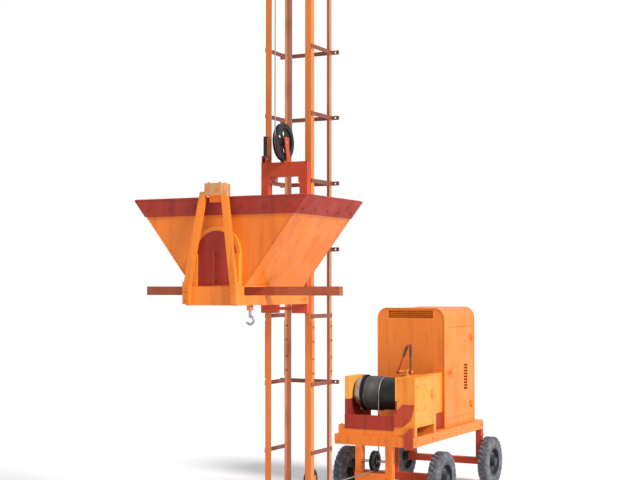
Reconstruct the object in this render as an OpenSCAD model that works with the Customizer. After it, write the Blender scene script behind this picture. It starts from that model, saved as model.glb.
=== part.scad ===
// Mobile material hoist: a lattice tower with a climbing hopper, and behind it a wheeled chassis
// that carries the rope winch and the engine. The origin is the middle of the tower's foot on the
// ground, +X is to the right, +Y points back to the chassis and +Z points up.

/* [Tower] */
// Outside width of the tower, from side to side
tower_w = 500; // [480:5:540]
// Outside depth of the tower, from front to back
tower_d = 440; // [420:5:480]
// Height of the leg tops above the ground
leg_top_z = 6500; // [6400:25:6700]
// Flange width of the front leg angles
front_leg_w = 65; // [60:1:68]
// Flange thickness of the front leg angles
front_leg_t = 6; // [5:0.5:7]
// Flange width of the rear leg angles
rear_leg_w = 50; // [40:1:60]
// Flange thickness of the rear leg angles
rear_leg_t = 5; // [4:0.5:7]
// Height of the lowest rung
first_rung_z = 200; // [160:5:240]
// Spacing of the rungs up the tower
rung_pitch = 650; // [630:5:670]
// Height of a rung and of a rear bar
rung_h = 40; // [30:1:50]
// Thickness of a rung and of a rear bar
rung_t = 6; // [4:0.5:8]
// How far the rear bars stand out past the legs
tie_overhang = 80; // [60:5:110]
// Radius of the wall tie holes
tie_hole_r = 9; // [6:0.5:11]
// Thickness of the plates that join the leg sections
splice_t = 8; // [6:0.5:10]

/* [Base] */
// Side of the square ground plate
base_w = 660; // [640:10:720]
// Thickness of the ground plate and of the rear foot pads
base_t = 12; // [10:1:16]
// Spacing of the anchor holes, both ways
anchor_pitch = 590; // [570:5:600]
// Radius of the anchor holes
anchor_r = 11; // [8:0.5:14]
// Width and height of the base rails
rail_w = 80; // [60:1:90]
// Distance between the middles of the two base rails
rail_pitch = 360; // [340:5:380]

/* [Rope] */
// Radius of the hoist rope
rope_r = 6; // [5:0.5:6.5]
// Pitch radius of the head sheave
head_sheave_r = 150; // [140:1:160]
// Pitch radius of the foot sheave and of the lead sheave
foot_sheave_r = 100; // [90:1:110]
// Pitch radius of the carriage sheave
carriage_sheave_r = 165; // [155:1:170]
// Height of the foot and lead sheaves' pins
foot_sheave_z = 520; // [490:5:550]
// Radius of the sheave pins
pin_r = 15; // [12:0.5:18]

/* [Carriage] */
// Height of the carriage's lower edge at rest
carriage_z = 2180; // [2150:5:2210]
// Height of the carriage portal
carriage_h = 1450; // [1400:10:1500]
// Width of the carriage portal
carriage_w = 500; // [480:5:520]
// Depth of the carriage portal's bars
carriage_d = 75; // [70:1:85]
// Distance from the tower's front to the carriage portal
carriage_gap = 10; // [6:1:14]
// Radius of the guide rollers
roller_r = 36; // [32:0.5:37]

/* [Hopper] */
// Width of the hopper at the rim
hopper_top_w = 1740; // [1650:10:1800]
// Width of the hopper's floor
hopper_floor_w = 530; // [500:5:560]
// Height of the hopper
hopper_h = 775; // [750:5:810]
// Depth of the hopper from front to back
hopper_d = 1095; // [1050:5:1150]
// Thickness of the hopper's plates
hopper_t = 6; // [4:0.5:8]
// Height of the dark band round the rim
band_h = 150; // [120:5:170]
// Width of the discharge gate
gate_w = 400; // [360:5:420]
// Height of the discharge gate
gate_h = 475; // [450:5:500]
// Length of the landing beam
landing_len = 2000; // [1900:10:2100]
// Side of the landing beam's section
landing_w = 80; // [70:1:90]

/* [Chassis] */
// Distance from the tower's middle to the chassis front
chassis_y = 1740; // [1700:10:1800]
// Width of the chassis frame
chassis_w = 950; // [930:5:970]
// Length of the chassis frame
chassis_len = 2200; // [2200:10:2300]
// Height of the deck's upper face
deck_z = 800; // [780:5:820]
// Outer radius of the tyres
tyre_r = 300; // [280:1:305]
// Width of the tyres
tyre_w = 135; // [120:1:145]
// Distance between the middles of left and right tyres
track_w = 1150; // [1130:5:1200]
// Distance from the chassis front to the front axle
front_axle_back = 570; // [550:5:600]
// Distance from the rear axle to the chassis's back end
rear_overhang = 40; // [30:5:60]
// Radius of the wheel spindles
spindle_r = 25; // [20:0.5:30]

/* [Winch] */
// Height of the drum's axis above the deck
drum_up = 440; // [430:5:460]
// Radius of the drum's barrel
drum_r = 180; // [170:1:185]
// Radius of the drum's flanges
drum_flange_r = 205; // [200:1:215]
// Length of the barrel between the flanges
drum_len = 426; // [400:2:430]
// Number of rope turns on the drum
wrap_turns = 13; // [10:1:13]
// Teeth on the drum's gear
gear_teeth = 60; // [54:1:60]
// Teeth on the pinion
pinion_teeth = 18; // [16:2:20]
// Size of the gear teeth: pitch diameter over tooth count
tooth_module = 6; // [5.5:0.1:6]

/* [Engine] */
// Width of the engine canopy
canopy_w = 840; // [820:5:880]
// Depth of the engine canopy
canopy_d = 980; // [960:10:1000]
// Height of the engine canopy above the deck
canopy_h = 1380; // [1340:10:1420]
// Radius of the canopy's rounded roof edges
canopy_r = 120; // [80:5:140]
// Distance from the chassis front to the canopy
canopy_back = 1050; // [1030:5:1060]

/* [Hidden] */

$fn = 64;

// Paint and metal colours
orange = [0.93, 0.45, 0.16];
dark_red = [0.52, 0.18, 0.13];
black_steel = [0.12, 0.12, 0.13];
rope_grey = [0.42, 0.42, 0.42];
bare_steel = [0.62, 0.62, 0.62];
tyre_grey = [0.42, 0.46, 0.52];

// Radial clearance of a shaft in its bore
bore_clear = 0.05;
// Running gap between faces of pieces that move past each other
run_gap = 0.4;
// Overrun of every cut
cut = 1;
// Wall of the hollow bars
section_t = 6;

// Tower places
half_w = tower_w / 2;
half_d = tower_d / 2;
rung_count = floor((leg_top_z - first_rung_z) / rung_pitch) + 1;
rear_bar_levels = [2, 4, 5, 6, 7, 8, 9];
splice_level_shares = [2.5, 8.5];
splice_gap = 30;
splice_len = rung_pitch - rung_h - 2 * splice_gap;
splice_zs = [for (share = splice_level_shares) first_rung_z + share * rung_pitch];
splice_edge = 4;
// Joint left open between two leg sections
section_gap = 0.3;
bolt_r = 6;
bolt_head_r = 10;
bolt_head_h = 8;
bolt_row_shares = [-0.4, -0.15, 0.15, 0.4];

// Base places
rail_front_gap = 8;
rail_y0 = half_d + rung_t + rail_front_gap;
post_w = 80;
post_y0 = chassis_y;
post_y1 = chassis_y + post_w;
rail_y1 = post_y1 + rail_w;
rail_z1 = base_t + rail_w;
frame_beam_h = 100;
frame_beam_w = 80;
deck_t = 10;
frame_z1 = deck_z - deck_t;
frame_z0 = frame_z1 - frame_beam_h;
cross_piece_h = 110;
cross_piece_t = 10;
cross_piece_drop = 125;

// Sheave shape
groove_clear = 0.4;
sheave_rim_hw = 20;
sheave_lip = 15;
sheave_lip_hw = 14;
sheave_web_hw = 7;
sheave_rim_depth = 24;
sheave_hub_r = 34;
sheave_hub_hw = 24;
web_hole_share = 0.62;
web_hole_size_share = 0.19;
web_hole_count = 6;

// Rope route
rope_d = 2 * rope_r;
head_sheave_up = 220;
head_sheave_z = leg_top_z + head_sheave_up;
live_y = -head_sheave_r;
down_y = head_sheave_r;
foot_sheave_y = down_y + foot_sheave_r;
lead_sheave_y = (post_y0 + post_y1) / 2;
haul_y = lead_sheave_y + foot_sheave_r;
run_z = foot_sheave_z - foot_sheave_r;
carriage_top_z = carriage_z + carriage_h;
carriage_sheave_y = live_y - carriage_sheave_r;
carriage_sheave_gap = 10;
carriage_sheave_z = carriage_top_z + carriage_sheave_r + sheave_lip + carriage_sheave_gap;
dead_y = carriage_sheave_y - carriage_sheave_r;
anchor_h = 100;
anchor_z0 = leg_top_z - anchor_h;

// Head frame
head_beam_h = 120;
head_beam_w = 50;
head_beam_gap = 60;
head_beam_over = 60;
bearing_h = 60;
head_z1 = leg_top_z + head_beam_h;
bearing_z1 = head_sheave_z + bearing_h;
bearing_d = 120;
anchor_w = 60;
cheek_t = 10;
cheek_gap = 4;
cheek_x = sheave_hub_hw + cheek_gap;
cheek_d = 90;
cheek_over = 45;

module block(low, high) {
  translate(low) cube(high - low);
}

module both_sides() {
  children();
  mirror([1, 0, 0]) children();
}

module rod_x(x0, x1, y, z, r) {
  translate([x0, y, z]) rotate([0, 90, 0]) cylinder(h = x1 - x0, r = r);
}

module rod_y(y0, y1, x, z, r) {
  translate([x, y1, z]) rotate([90, 0, 0]) cylinder(h = y1 - y0, r = r);
}

module rod_z(z0, z1, x, y, r) {
  translate([x, y, z0]) cylinder(h = z1 - z0, r = r);
}

// A side profile, drawn as [y, z] points, drawn out along X
module profile_x(x0, x1) {
  translate([x0, 0, 0]) rotate([90, 0, 90]) linear_extrude(x1 - x0) children();
}

// A front profile, drawn as [x, z] points, drawn out along Y
module profile_y(y0, y1) {
  translate([0, y1, 0]) rotate([90, 0, 0]) linear_extrude(y1 - y0) children();
}

// An angle section with its outer corner at the origin
module angle_section(w, t) {
  polygon([[0, 0], [w, 0], [w, t], [t, t], [t, w], [0, w]]);
}

function rung_z(level) = first_rung_z + level * rung_pitch;

// Places of the splice bolts on one leg, as heights
function splice_bolt_zs() = [for (z = splice_zs, share = bolt_row_shares) z + share * splice_len];

module splice_bolt_holes(y) {
  both_sides()
    for (z = splice_bolt_zs())
      rod_x(half_w - front_leg_w, half_w + splice_t + cut, y, z, bolt_r + bore_clear);
}

front_bolt_y = -half_d + front_leg_w / 2;
rear_bolt_y = half_d - rear_leg_w / 2;
leg_cuts = concat([base_t], splice_zs, [leg_top_z + section_gap]);

module front_legs() {
  color(orange) difference() {
    both_sides()
      for (i = [0 : len(leg_cuts) - 2])
        translate([-half_w, -half_d, leg_cuts[i]])
          linear_extrude(leg_cuts[i + 1] - leg_cuts[i] - section_gap)
            angle_section(front_leg_w, front_leg_t);
    splice_bolt_holes(front_bolt_y);
  }
}

module rear_legs() {
  color(orange) difference() {
    both_sides()
      for (i = [0 : len(leg_cuts) - 2])
        translate([-half_w, half_d, leg_cuts[i]]) mirror([0, 1, 0])
          linear_extrude(leg_cuts[i + 1] - leg_cuts[i] - section_gap) angle_section(rear_leg_w, rear_leg_t);
    splice_bolt_holes(rear_bolt_y);
  }
}

module side_rungs() {
  color(orange) both_sides()
    for (level = [0 : rung_count - 1])
      block([half_w, -half_d, rung_z(level) - rung_h / 2],
            [half_w + rung_t, half_d, rung_z(level) + rung_h / 2]);
}

module rear_bars() {
  bar_hw = half_w + tie_overhang;
  color(orange) difference() {
    for (level = rear_bar_levels)
      block([-bar_hw, half_d, rung_z(level) - rung_h / 2],
            [bar_hw, half_d + rung_t, rung_z(level) + rung_h / 2]);
    both_sides()
      for (level = rear_bar_levels)
        rod_y(half_d - cut, half_d + rung_t + cut, bar_hw - tie_overhang / 2, rung_z(level), tie_hole_r);
  }
}

module splice_plates() {
  front_hw = front_leg_w / 2 - splice_edge;
  rear_hw = rear_leg_w / 2 - splice_edge;
  color(orange) difference() {
    both_sides()
      for (z = splice_zs) {
        block([half_w, front_bolt_y - front_hw, z - splice_len / 2],
              [half_w + splice_t, front_bolt_y + front_hw, z + splice_len / 2]);
        block([half_w, rear_bolt_y - rear_hw, z - splice_len / 2],
              [half_w + splice_t, rear_bolt_y + rear_hw, z + splice_len / 2]);
      }
    splice_bolt_holes(front_bolt_y);
    splice_bolt_holes(rear_bolt_y);
  }
}

// A bolt through a splice plate and a flange of thickness flange_t, with its head outside
module splice_bolt(y, z, flange_t) {
  inner_x = half_w - flange_t;
  outer_x = half_w + splice_t;
  rod_x(inner_x, outer_x, y, z, bolt_r);
  rod_x(outer_x, outer_x + bolt_head_h, y, z, bolt_head_r, $fn = 6);
  rod_x(inner_x - bolt_head_h, inner_x, y, z, bolt_head_r, $fn = 6);
}

module tower_bolts() {
  color(bare_steel) both_sides()
    for (z = splice_bolt_zs()) {
      splice_bolt(front_bolt_y, z, front_leg_t);
      splice_bolt(rear_bolt_y, z, rear_leg_t);
    }
}

module base_plate() {
  cheek_y0 = foot_sheave_y - cheek_d / 2;
  color(orange) difference() {
    union() {
      block([-base_w / 2, -base_w / 2, 0], [base_w / 2, base_w / 2, base_t]);
      both_sides()
        block([cheek_x, cheek_y0, base_t],
              [cheek_x + cheek_t, cheek_y0 + cheek_d, foot_sheave_z + cheek_over]);
    }
    for (x = [-anchor_pitch / 2, anchor_pitch / 2], y = [-anchor_pitch / 2, anchor_pitch / 2])
      rod_z(-cut, base_t + cut, x, y, anchor_r);
    rod_x(-cheek_x - cheek_t - cut, cheek_x + cheek_t + cut, foot_sheave_y, foot_sheave_z,
          pin_r + bore_clear);
  }
}

module base_rails() {
  color(orange) both_sides() {
    difference() {
      block([rail_pitch / 2 - rail_w / 2, rail_y0, base_t], [rail_pitch / 2 + rail_w / 2, rail_y1, rail_z1]);
      block([rail_pitch / 2 - rail_w / 2 + section_t, rail_y0 - cut, base_t + section_t],
            [rail_pitch / 2 + rail_w / 2 - section_t, rail_y1 + cut, rail_z1 - section_t]);
    }
    block([rail_pitch / 2 - rail_w, post_y0 - rail_w / 2, 0],
          [rail_pitch / 2 + rail_w, rail_y1, base_t]);
  }
}

module link_posts() {
  post_x0 = rail_pitch / 2 - post_w / 2;
  post_x1 = rail_pitch / 2 + post_w / 2;
  cross_z1 = foot_sheave_z - cross_piece_drop;
  color(orange) difference() {
    union() {
      both_sides() block([post_x0, post_y0, rail_z1], [post_x1, post_y1, frame_z0]);
      block([-post_x1, post_y0 - cross_piece_t, cross_z1 - cross_piece_h], [post_x1, post_y0, cross_z1]);
    }
    rod_x(-post_x1 - cut, post_x1 + cut, lead_sheave_y, foot_sheave_z, pin_r + bore_clear);
  }
}

module head_frame() {
  beam_y0 = dead_y - anchor_w / 2 - head_beam_over;
  beam_y1 = half_d + head_beam_over;
  beam_x1 = head_beam_gap + head_beam_w;
  color(orange) difference() {
    union() {
      both_sides() {
        block([head_beam_gap, beam_y0, leg_top_z], [beam_x1, beam_y1, head_z1]);
        block([head_beam_gap, -bearing_d / 2, head_z1], [beam_x1, bearing_d / 2, bearing_z1]);
      }
      for (y = [-half_d, half_d - rear_leg_w])
        block([-half_w, y, leg_top_z], [half_w, y + rear_leg_w, head_z1]);
      block([-head_beam_gap, dead_y - anchor_w / 2, leg_top_z],
            [head_beam_gap, dead_y + anchor_w / 2, leg_top_z + anchor_w]);
      rod_z(anchor_z0, leg_top_z, 0, dead_y, anchor_w / 3);
    }
    rod_x(-beam_x1 - cut, beam_x1 + cut, 0, head_sheave_z, pin_r + bore_clear);
  }
}

module sheave_pins() {
  head_hw = head_beam_gap + head_beam_w;
  foot_hw = cheek_x + cheek_t;
  lead_hw = rail_pitch / 2 + post_w / 2;
  color(bare_steel) {
    rod_x(-head_hw, head_hw, 0, head_sheave_z, pin_r);
    rod_x(-foot_hw, foot_hw, foot_sheave_y, foot_sheave_z, pin_r);
    rod_x(-lead_hw, lead_hw, lead_sheave_y, foot_sheave_z, pin_r);
  }
}

// A grooved sheave on an X axis, with round openings in its web
module sheave(pitch_r, y, z) {
  root_r = pitch_r - rope_r - groove_clear;
  rim_r = pitch_r + sheave_lip;
  web_r = root_r - sheave_rim_depth;
  bed_hw = rope_r + groove_clear;
  hole_at_r = web_r * web_hole_share;
  translate([0, y, z]) rotate([0, 90, 0]) difference() {
    rotate_extrude() polygon([
      [pin_r + bore_clear, -sheave_hub_hw], [sheave_hub_r, -sheave_hub_hw],
      [sheave_hub_r, -sheave_web_hw], [web_r, -sheave_web_hw], [web_r, -sheave_rim_hw],
      [rim_r, -sheave_rim_hw], [rim_r, -sheave_lip_hw], [root_r, -bed_hw],
      [root_r, bed_hw], [rim_r, sheave_lip_hw], [rim_r, sheave_rim_hw],
      [web_r, sheave_rim_hw], [web_r, sheave_web_hw], [sheave_hub_r, sheave_web_hw],
      [sheave_hub_r, sheave_hub_hw], [pin_r + bore_clear, sheave_hub_hw]
    ]);
    for (i = [0 : web_hole_count - 1])
      rotate([0, 0, i * 360 / web_hole_count]) translate([hole_at_r, 0, -sheave_web_hw - cut])
        cylinder(h = 2 * (sheave_web_hw + cut), r = web_r * web_hole_size_share);
  }
}

module head_sheave() { color(black_steel) sheave(head_sheave_r, 0, head_sheave_z); }

module foot_sheave() { color(black_steel) sheave(foot_sheave_r, foot_sheave_y, foot_sheave_z); }

module lead_sheave() { color(black_steel) sheave(foot_sheave_r, lead_sheave_y, foot_sheave_z); }

// Rope bent round a sheave, from an angle counted from +Y towards +Z
module rope_arc(y, z, pitch_r, start, sweep) {
  translate([0, y, z]) rotate([90, 0, 90]) rotate([0, 0, start])
    rotate_extrude(angle = sweep) translate([pitch_r, 0]) circle(r = rope_r);
}

// Winch places that the rope and the frame share
drum_z = deck_z + drum_up;
wrap_r = drum_r + rope_r + groove_clear;
drum_y = haul_y + wrap_r;
wrap_gap = 2;
wrap_pitch = rope_d + wrap_gap;

module rope_lead() {
  color(rope_grey) {
    rope_arc(0, head_sheave_z, head_sheave_r, 0, 180);
    rod_z(foot_sheave_z, head_sheave_z, 0, down_y, rope_r);
    rope_arc(foot_sheave_y, foot_sheave_z, foot_sheave_r, 180, 90);
    rod_y(foot_sheave_y, lead_sheave_y, 0, run_z, rope_r);
    rope_arc(lead_sheave_y, foot_sheave_z, foot_sheave_r, 270, 90);
    rod_z(foot_sheave_z, drum_z, 0, haul_y, rope_r);
    rope_arc(drum_y, drum_z, wrap_r, 0, 180);
  }
}

module rope_fall_live() {
  color(rope_grey) rod_z(carriage_sheave_z, head_sheave_z, 0, live_y, rope_r);
}

module rope_fall_dead() {
  color(rope_grey) rod_z(carriage_sheave_z, anchor_z0, 0, dead_y, rope_r);
}

module rope_carriage_wrap() {
  color(rope_grey) rope_arc(carriage_sheave_y, carriage_sheave_z, carriage_sheave_r, 180, 180);
}

// Carriage places: the portal stands in front of the tower
portal_y1 = -half_d - carriage_gap;
portal_y0 = portal_y1 - carriage_d;
portal_hw = carriage_w / 2;
portal_top_h = 140;
portal_foot_h = 110;
portal_foot_w = 165;
tie_h = 30;
tie_up = 30;
portal_post_w = 80;
roller_w = 34;
roller_pin_r = 12;
roller_edge = 7;
roller_x0 = half_w - front_leg_w + roller_edge;
roller_x1 = roller_x0 + roller_w;
upper_roller_y = -half_d + front_leg_t + roller_r + run_gap;
lower_roller_y = -half_d - roller_r - run_gap;
upper_roller_drop = 165;
lower_roller_up = 180;
upper_roller_z = carriage_top_z - upper_roller_drop;
lower_roller_z = carriage_z + lower_roller_up;
roller_arm_t = 14;
roller_arm_h = 70;
roller_arm_x1 = portal_hw - portal_post_w;
roller_arm_x0 = roller_arm_x1 - roller_arm_t;
portal_t = 6;
stay_w = 40;
stay_h = 60;
stay_drop = 180;
catch_t = 24;
catch_w = 30;
catch_len = 220;
catch_pin_r = 10;
catch_up = 40;
catch_nose = 36;
catch_inset = 30;
catch_forward = 25;
catch_x = -portal_hw + catch_inset;
catch_y = portal_y0 + catch_forward;
catch_z = carriage_top_z + catch_up;
catch_cheek_t = 10;
catch_cheek_gap = 2;
catch_cheek_w = 60;
catch_cheek_h = 70;

module roller(x0, x1, y, z) {
  difference() {
    rod_x(x0, x1, y, z, roller_r);
    rod_x(x0 - cut, x1 + cut, y, z, roller_pin_r + bore_clear);
  }
}

// A channel of the portal, open towards the tower
module portal_channel(x0, x1, z0, z1) {
  difference() {
    block([x0, portal_y0, z0], [x1, portal_y1, z1]);
    block([x0 + portal_t, portal_y0 + portal_t, z0 + portal_t],
          [x1 - portal_t, portal_y1 + cut, z1 - portal_t]);
  }
}

module carriage_frame() {
  top_z0 = carriage_top_z - portal_top_h;
  foot_z1 = carriage_z + portal_foot_h;
  post_x0 = portal_hw - portal_post_w;
  cheek_lead_y = carriage_sheave_y + cheek_over;
  sheave_pin_z1 = carriage_sheave_z + cheek_over;
  ear_x = catch_t / 2 + catch_cheek_gap;
  stay_z1 = hopper_z1 - stay_drop;
  color(dark_red) difference() {
    union() {
      portal_channel(-portal_hw, portal_hw, top_z0, carriage_top_z);
      block([-portal_hw + portal_post_w, portal_y0, carriage_z + tie_up],
            [portal_hw - portal_post_w, portal_y0 + portal_t, carriage_z + tie_up + tie_h]);
      both_sides() {
        portal_channel(portal_hw - portal_foot_w, portal_hw, carriage_z, foot_z1);
        portal_channel(post_x0, portal_hw, foot_z1, top_z0);
        // Arm that holds the upper roller behind the leg's front flange
        block([roller_arm_x0, portal_y0, upper_roller_z - roller_arm_h / 2],
              [roller_arm_x1, upper_roller_y + roller_r, upper_roller_z + roller_arm_h / 2]);
        // Stay that steadies the hopper's back
        block([post_x0, hopper_y1, stay_z1 - stay_h], [post_x0 + stay_w, portal_y0, stay_z1]);
        // Cheek of the rope sheave
        profile_x(cheek_x, cheek_x + cheek_t) polygon([
          [portal_y0, carriage_top_z], [portal_y1, carriage_top_z],
          [cheek_lead_y, sheave_pin_z1 - cheek_d], [cheek_lead_y, sheave_pin_z1],
          [cheek_lead_y - cheek_d, sheave_pin_z1]
        ]);
      }
      // Ears of the safety catch
      for (x = [catch_x - ear_x - catch_cheek_t, catch_x + ear_x])
        block([x, catch_y - catch_cheek_w / 2, carriage_top_z],
              [x + catch_cheek_t, catch_y + catch_cheek_w / 2, carriage_top_z + catch_cheek_h]);
    }
    both_sides() {
      rod_x(roller_arm_x0 - cut, half_w, upper_roller_y, upper_roller_z, roller_pin_r + bore_clear);
      rod_x(post_x0 - cut, portal_hw + cut, lower_roller_y, lower_roller_z, roller_pin_r + bore_clear);
    }
    rod_x(-cheek_x - cheek_t - cut, cheek_x + cheek_t + cut, carriage_sheave_y, carriage_sheave_z,
          pin_r + bore_clear);
    rod_x(-portal_hw - cut, catch_x + catch_cheek_w, catch_y, catch_z, catch_pin_r + bore_clear);
  }
}

module carriage_pins() {
  catch_hw = catch_t / 2 + catch_cheek_gap + catch_cheek_t;
  post_x0 = portal_hw - portal_post_w;
  color(bare_steel) {
    both_sides() {
      rod_x(roller_arm_x0, roller_x1, upper_roller_y, upper_roller_z, roller_pin_r);
      rod_x(post_x0, portal_hw, lower_roller_y, lower_roller_z, roller_pin_r);
    }
    rod_x(-cheek_x - cheek_t, cheek_x + cheek_t, carriage_sheave_y, carriage_sheave_z, pin_r);
    rod_x(catch_x - catch_hw, catch_x + catch_hw, catch_y, catch_z, catch_pin_r);
  }
}

module carriage_sheave() {
  color(black_steel) sheave(carriage_sheave_r, carriage_sheave_y, carriage_sheave_z);
}

module upper_rollers() {
  color(bare_steel) both_sides() roller(roller_x0, roller_x1, upper_roller_y, upper_roller_z);
}

module lower_rollers() {
  color(bare_steel) both_sides() roller(roller_x0, roller_x1, lower_roller_y, lower_roller_z);
}

module safety_catch() {
  tip_z = catch_z + catch_len;
  color(black_steel) difference() {
    union() {
      rod_x(catch_x - catch_t / 2, catch_x + catch_t / 2, catch_y, catch_z, catch_w - catch_pin_r);
      profile_x(catch_x - catch_t / 2, catch_x + catch_t / 2) polygon([
        [catch_y - catch_w / 2, catch_z], [catch_y + catch_w / 2, catch_z],
        [catch_y + catch_w / 2, tip_z - catch_nose], [catch_y + catch_w / 2 + catch_nose / 2, tip_z],
        [catch_y - catch_w / 2, tip_z]
      ]);
    }
    rod_x(catch_x - catch_t, catch_x + catch_t, catch_y, catch_z, catch_pin_r + bore_clear);
  }
}

// Hopper places: the cradle carries the landing beam, and that carries the hopper's floor
cradle_h = 85;
cradle_bar_w = 80;
cradle_up = 90;
cradle_z0 = carriage_z + cradle_up;
cradle_z1 = cradle_z0 + cradle_h;
hopper_z0 = cradle_z1 + landing_w;
hopper_z1 = hopper_z0 + hopper_h;
hopper_back_gap = 100;
hopper_y1 = portal_y0 - hopper_back_gap;
hopper_y0 = hopper_y1 - hopper_d;
front_box_d = 110;
front_box_y0 = hopper_y0 - front_box_d;
landing_from_front = 400;
landing_y0 = hopper_y0 + landing_from_front - landing_w / 2;
side_slope = (hopper_top_w - hopper_floor_w) / 2 / hopper_h;
side_wall = hopper_t * sqrt(1 + side_slope * side_slope);
band_t = 12;
band_wall = band_t * sqrt(1 + side_slope * side_slope);
ring_t = 25;
ring_wall = 40;
gate_t = 12;
gate_lap = 20;
gate_up = 10;
gate_arch_r = gate_w / 2;
gate_arch_z = hopper_z0 + gate_up + gate_h - gate_arch_r;
gate_y1 = hopper_y0 - ring_t - run_gap;
gate_y0 = gate_y1 - gate_t;
guide_gap = 2;
guide_lip = 18;
guide_t = 12;
handle_r = 10;
handle_len = 280;
handle_stand = 42;
handle_leg_r = 7;

// Half the hopper's outside width at a height
function hopper_hw(z) = hopper_floor_w / 2 + side_slope * (z - hopper_z0);

// The hopper's front shape between two heights, drawn in by a wall
module hopper_shape(z0, z1, wall) {
  polygon([
    [-hopper_hw(z0) + wall, z0], [hopper_hw(z0) - wall, z0],
    [hopper_hw(z1) - wall, z1], [-hopper_hw(z1) + wall, z1]
  ]);
}

// An upright arch: straight sides with a half-round top
module arch(hw, z0, spring_z) {
  translate([-hw, z0]) square([2 * hw, spring_z - z0]);
  translate([0, spring_z]) circle(r = hw);
}

module hopper() {
  mouth_hw = gate_arch_r - gate_lap;
  color(orange) difference() {
    profile_y(hopper_y0, hopper_y1) hopper_shape(hopper_z0, hopper_z1, 0);
    profile_y(hopper_y0 + hopper_t, hopper_y1 - hopper_t)
      hopper_shape(hopper_z0 + hopper_t, hopper_z1 + cut, side_wall);
    profile_y(hopper_y0 - cut, hopper_y0 + hopper_t + cut)
      arch(mouth_hw, hopper_z0 + hopper_t, gate_arch_z);
  }
}

module rim_band() {
  color(dark_red) difference() {
    profile_y(hopper_y0 - band_t, hopper_y1) hopper_shape(hopper_z1 - band_h, hopper_z1, -band_wall);
    profile_y(hopper_y0, hopper_y1 + cut) hopper_shape(hopper_z1 - band_h - cut, hopper_z1 + cut, 0);
  }
}

module gate_ring() {
  ring_hw = gate_arch_r + ring_wall;
  mouth_hw = gate_arch_r - gate_lap;
  guide_x0 = gate_arch_r + guide_gap;
  lip_y0 = gate_y0 - guide_gap - guide_t;
  color(orange) {
    profile_y(hopper_y0 - ring_t, hopper_y0) difference() {
      arch(ring_hw, hopper_z0, gate_arch_z);
      arch(mouth_hw, hopper_z0 - cut, gate_arch_z);
    }
    both_sides() {
      block([guide_x0, lip_y0, hopper_z0], [ring_hw, hopper_y0 - ring_t, gate_arch_z]);
      block([gate_arch_r - guide_lip, lip_y0, hopper_z0], [ring_hw, lip_y0 + guide_t, gate_arch_z]);
    }
  }
}

module gate_plate() {
  handle_y = gate_y0 - handle_stand;
  handle_z0 = hopper_z0 + 2 * gate_up;
  handle_z1 = handle_z0 + handle_len;
  color(dark_red) {
    profile_y(gate_y0, gate_y1) arch(gate_arch_r, hopper_z0 + gate_up, gate_arch_z);
    rod_z(handle_z0, handle_z1, 0, handle_y, handle_r);
    for (z = [handle_z0 + 2 * handle_r, handle_z1 - 2 * handle_r])
      rod_y(handle_y, gate_y0, 0, z, handle_leg_r);
  }
}

// Hook hung under the right bar of the cradle
hook_x = hopper_floor_w / 2 - cradle_bar_w / 2;
hook_back = 170;
hook_y = hopper_y0 + hook_back;
hook_pin_r = 8;
hook_pin_drop = 26;
hook_z = cradle_z0 - hook_pin_drop;
hook_t = 28;
hook_eye_r = 20;
hook_ear_t = 8;
hook_ear_gap = 2;
hook_ear_w = 40;
hook_bend_r = 36;
hook_wire_r = 11;
hook_shank_r = 13;
hook_shank_foot = 16;
hook_shank = 70;
hook_sweep = 250;
hook_bend_z = hook_z - hook_shank - hook_bend_r;

module cradle() {
  bar_x0 = hopper_floor_w / 2 - cradle_bar_w;
  bar_x1 = hopper_floor_w / 2;
  ear_y = hook_t / 2 + hook_ear_gap;
  color(orange) difference() {
    union() {
      both_sides() difference() {
        block([bar_x0, hopper_y0, cradle_z0], [bar_x1, portal_y0, cradle_z1]);
        block([bar_x0 - cut, hopper_y0, cradle_z0 + section_t],
              [bar_x1 - section_t, portal_y0 + cut, cradle_z1 - section_t]);
      }
      difference() {
        block([-bar_x1, front_box_y0, cradle_z0], [bar_x1, hopper_y0, hopper_z0]);
        block([-bar_x1 + section_t, front_box_y0 + section_t, cradle_z0 - cut],
              [bar_x1 - section_t, hopper_y0 - section_t, hopper_z0 - section_t]);
      }
      for (y = [hook_y - ear_y - hook_ear_t, hook_y + ear_y])
        block([hook_x - hook_ear_w / 2, y, hook_z - hook_ear_w / 2],
              [hook_x + hook_ear_w / 2, y + hook_ear_t, cradle_z0]);
    }
    rod_y(hook_y - hook_ear_w, hook_y + hook_ear_w, hook_x, hook_z, hook_pin_r + bore_clear);
  }
}

module hook() {
  pin_hw = hook_t / 2 + hook_ear_gap + hook_ear_t;
  color(bare_steel) {
    rod_y(hook_y - pin_hw, hook_y + pin_hw, hook_x, hook_z, hook_pin_r);
    rod_y(hook_y - hook_t / 2, hook_y + hook_t / 2, hook_x, hook_z, hook_eye_r);
    rod_z(hook_bend_z + hook_bend_r - hook_shank_foot, hook_z, hook_x, hook_y, hook_shank_r);
    translate([hook_x, hook_y, hook_bend_z]) rotate([90, 0, 0]) rotate([0, 0, 90 - hook_sweep])
      rotate_extrude(angle = hook_sweep) translate([hook_bend_r, 0]) circle(r = hook_wire_r);
  }
}

module landing_beam() {
  color(dark_red) difference() {
    block([-landing_len / 2, landing_y0, cradle_z1], [landing_len / 2, landing_y0 + landing_w, hopper_z0]);
    block([-landing_len / 2 - cut, landing_y0 + section_t, cradle_z1 + section_t],
          [landing_len / 2 + cut, landing_y0 + landing_w - section_t, hopper_z0 - section_t]);
  }
}

// A-frame in front of the gate, leaning back to the rim
frame_bar_w = 60;
frame_bar_d = 40;
frame_top_hw = 105;
frame_foot_hw = 240;
frame_foot_up = 10;
foot_step = 3;
frame_sink = 20;
frame_lean = 65;
cap_up = 15;
cap_h = 110;
cap_in = 20;
cap_over = 10;
cap_back = 60;
frame_bar_up = 35;
lug_hw = 60;
lug_h = 55;

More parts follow.
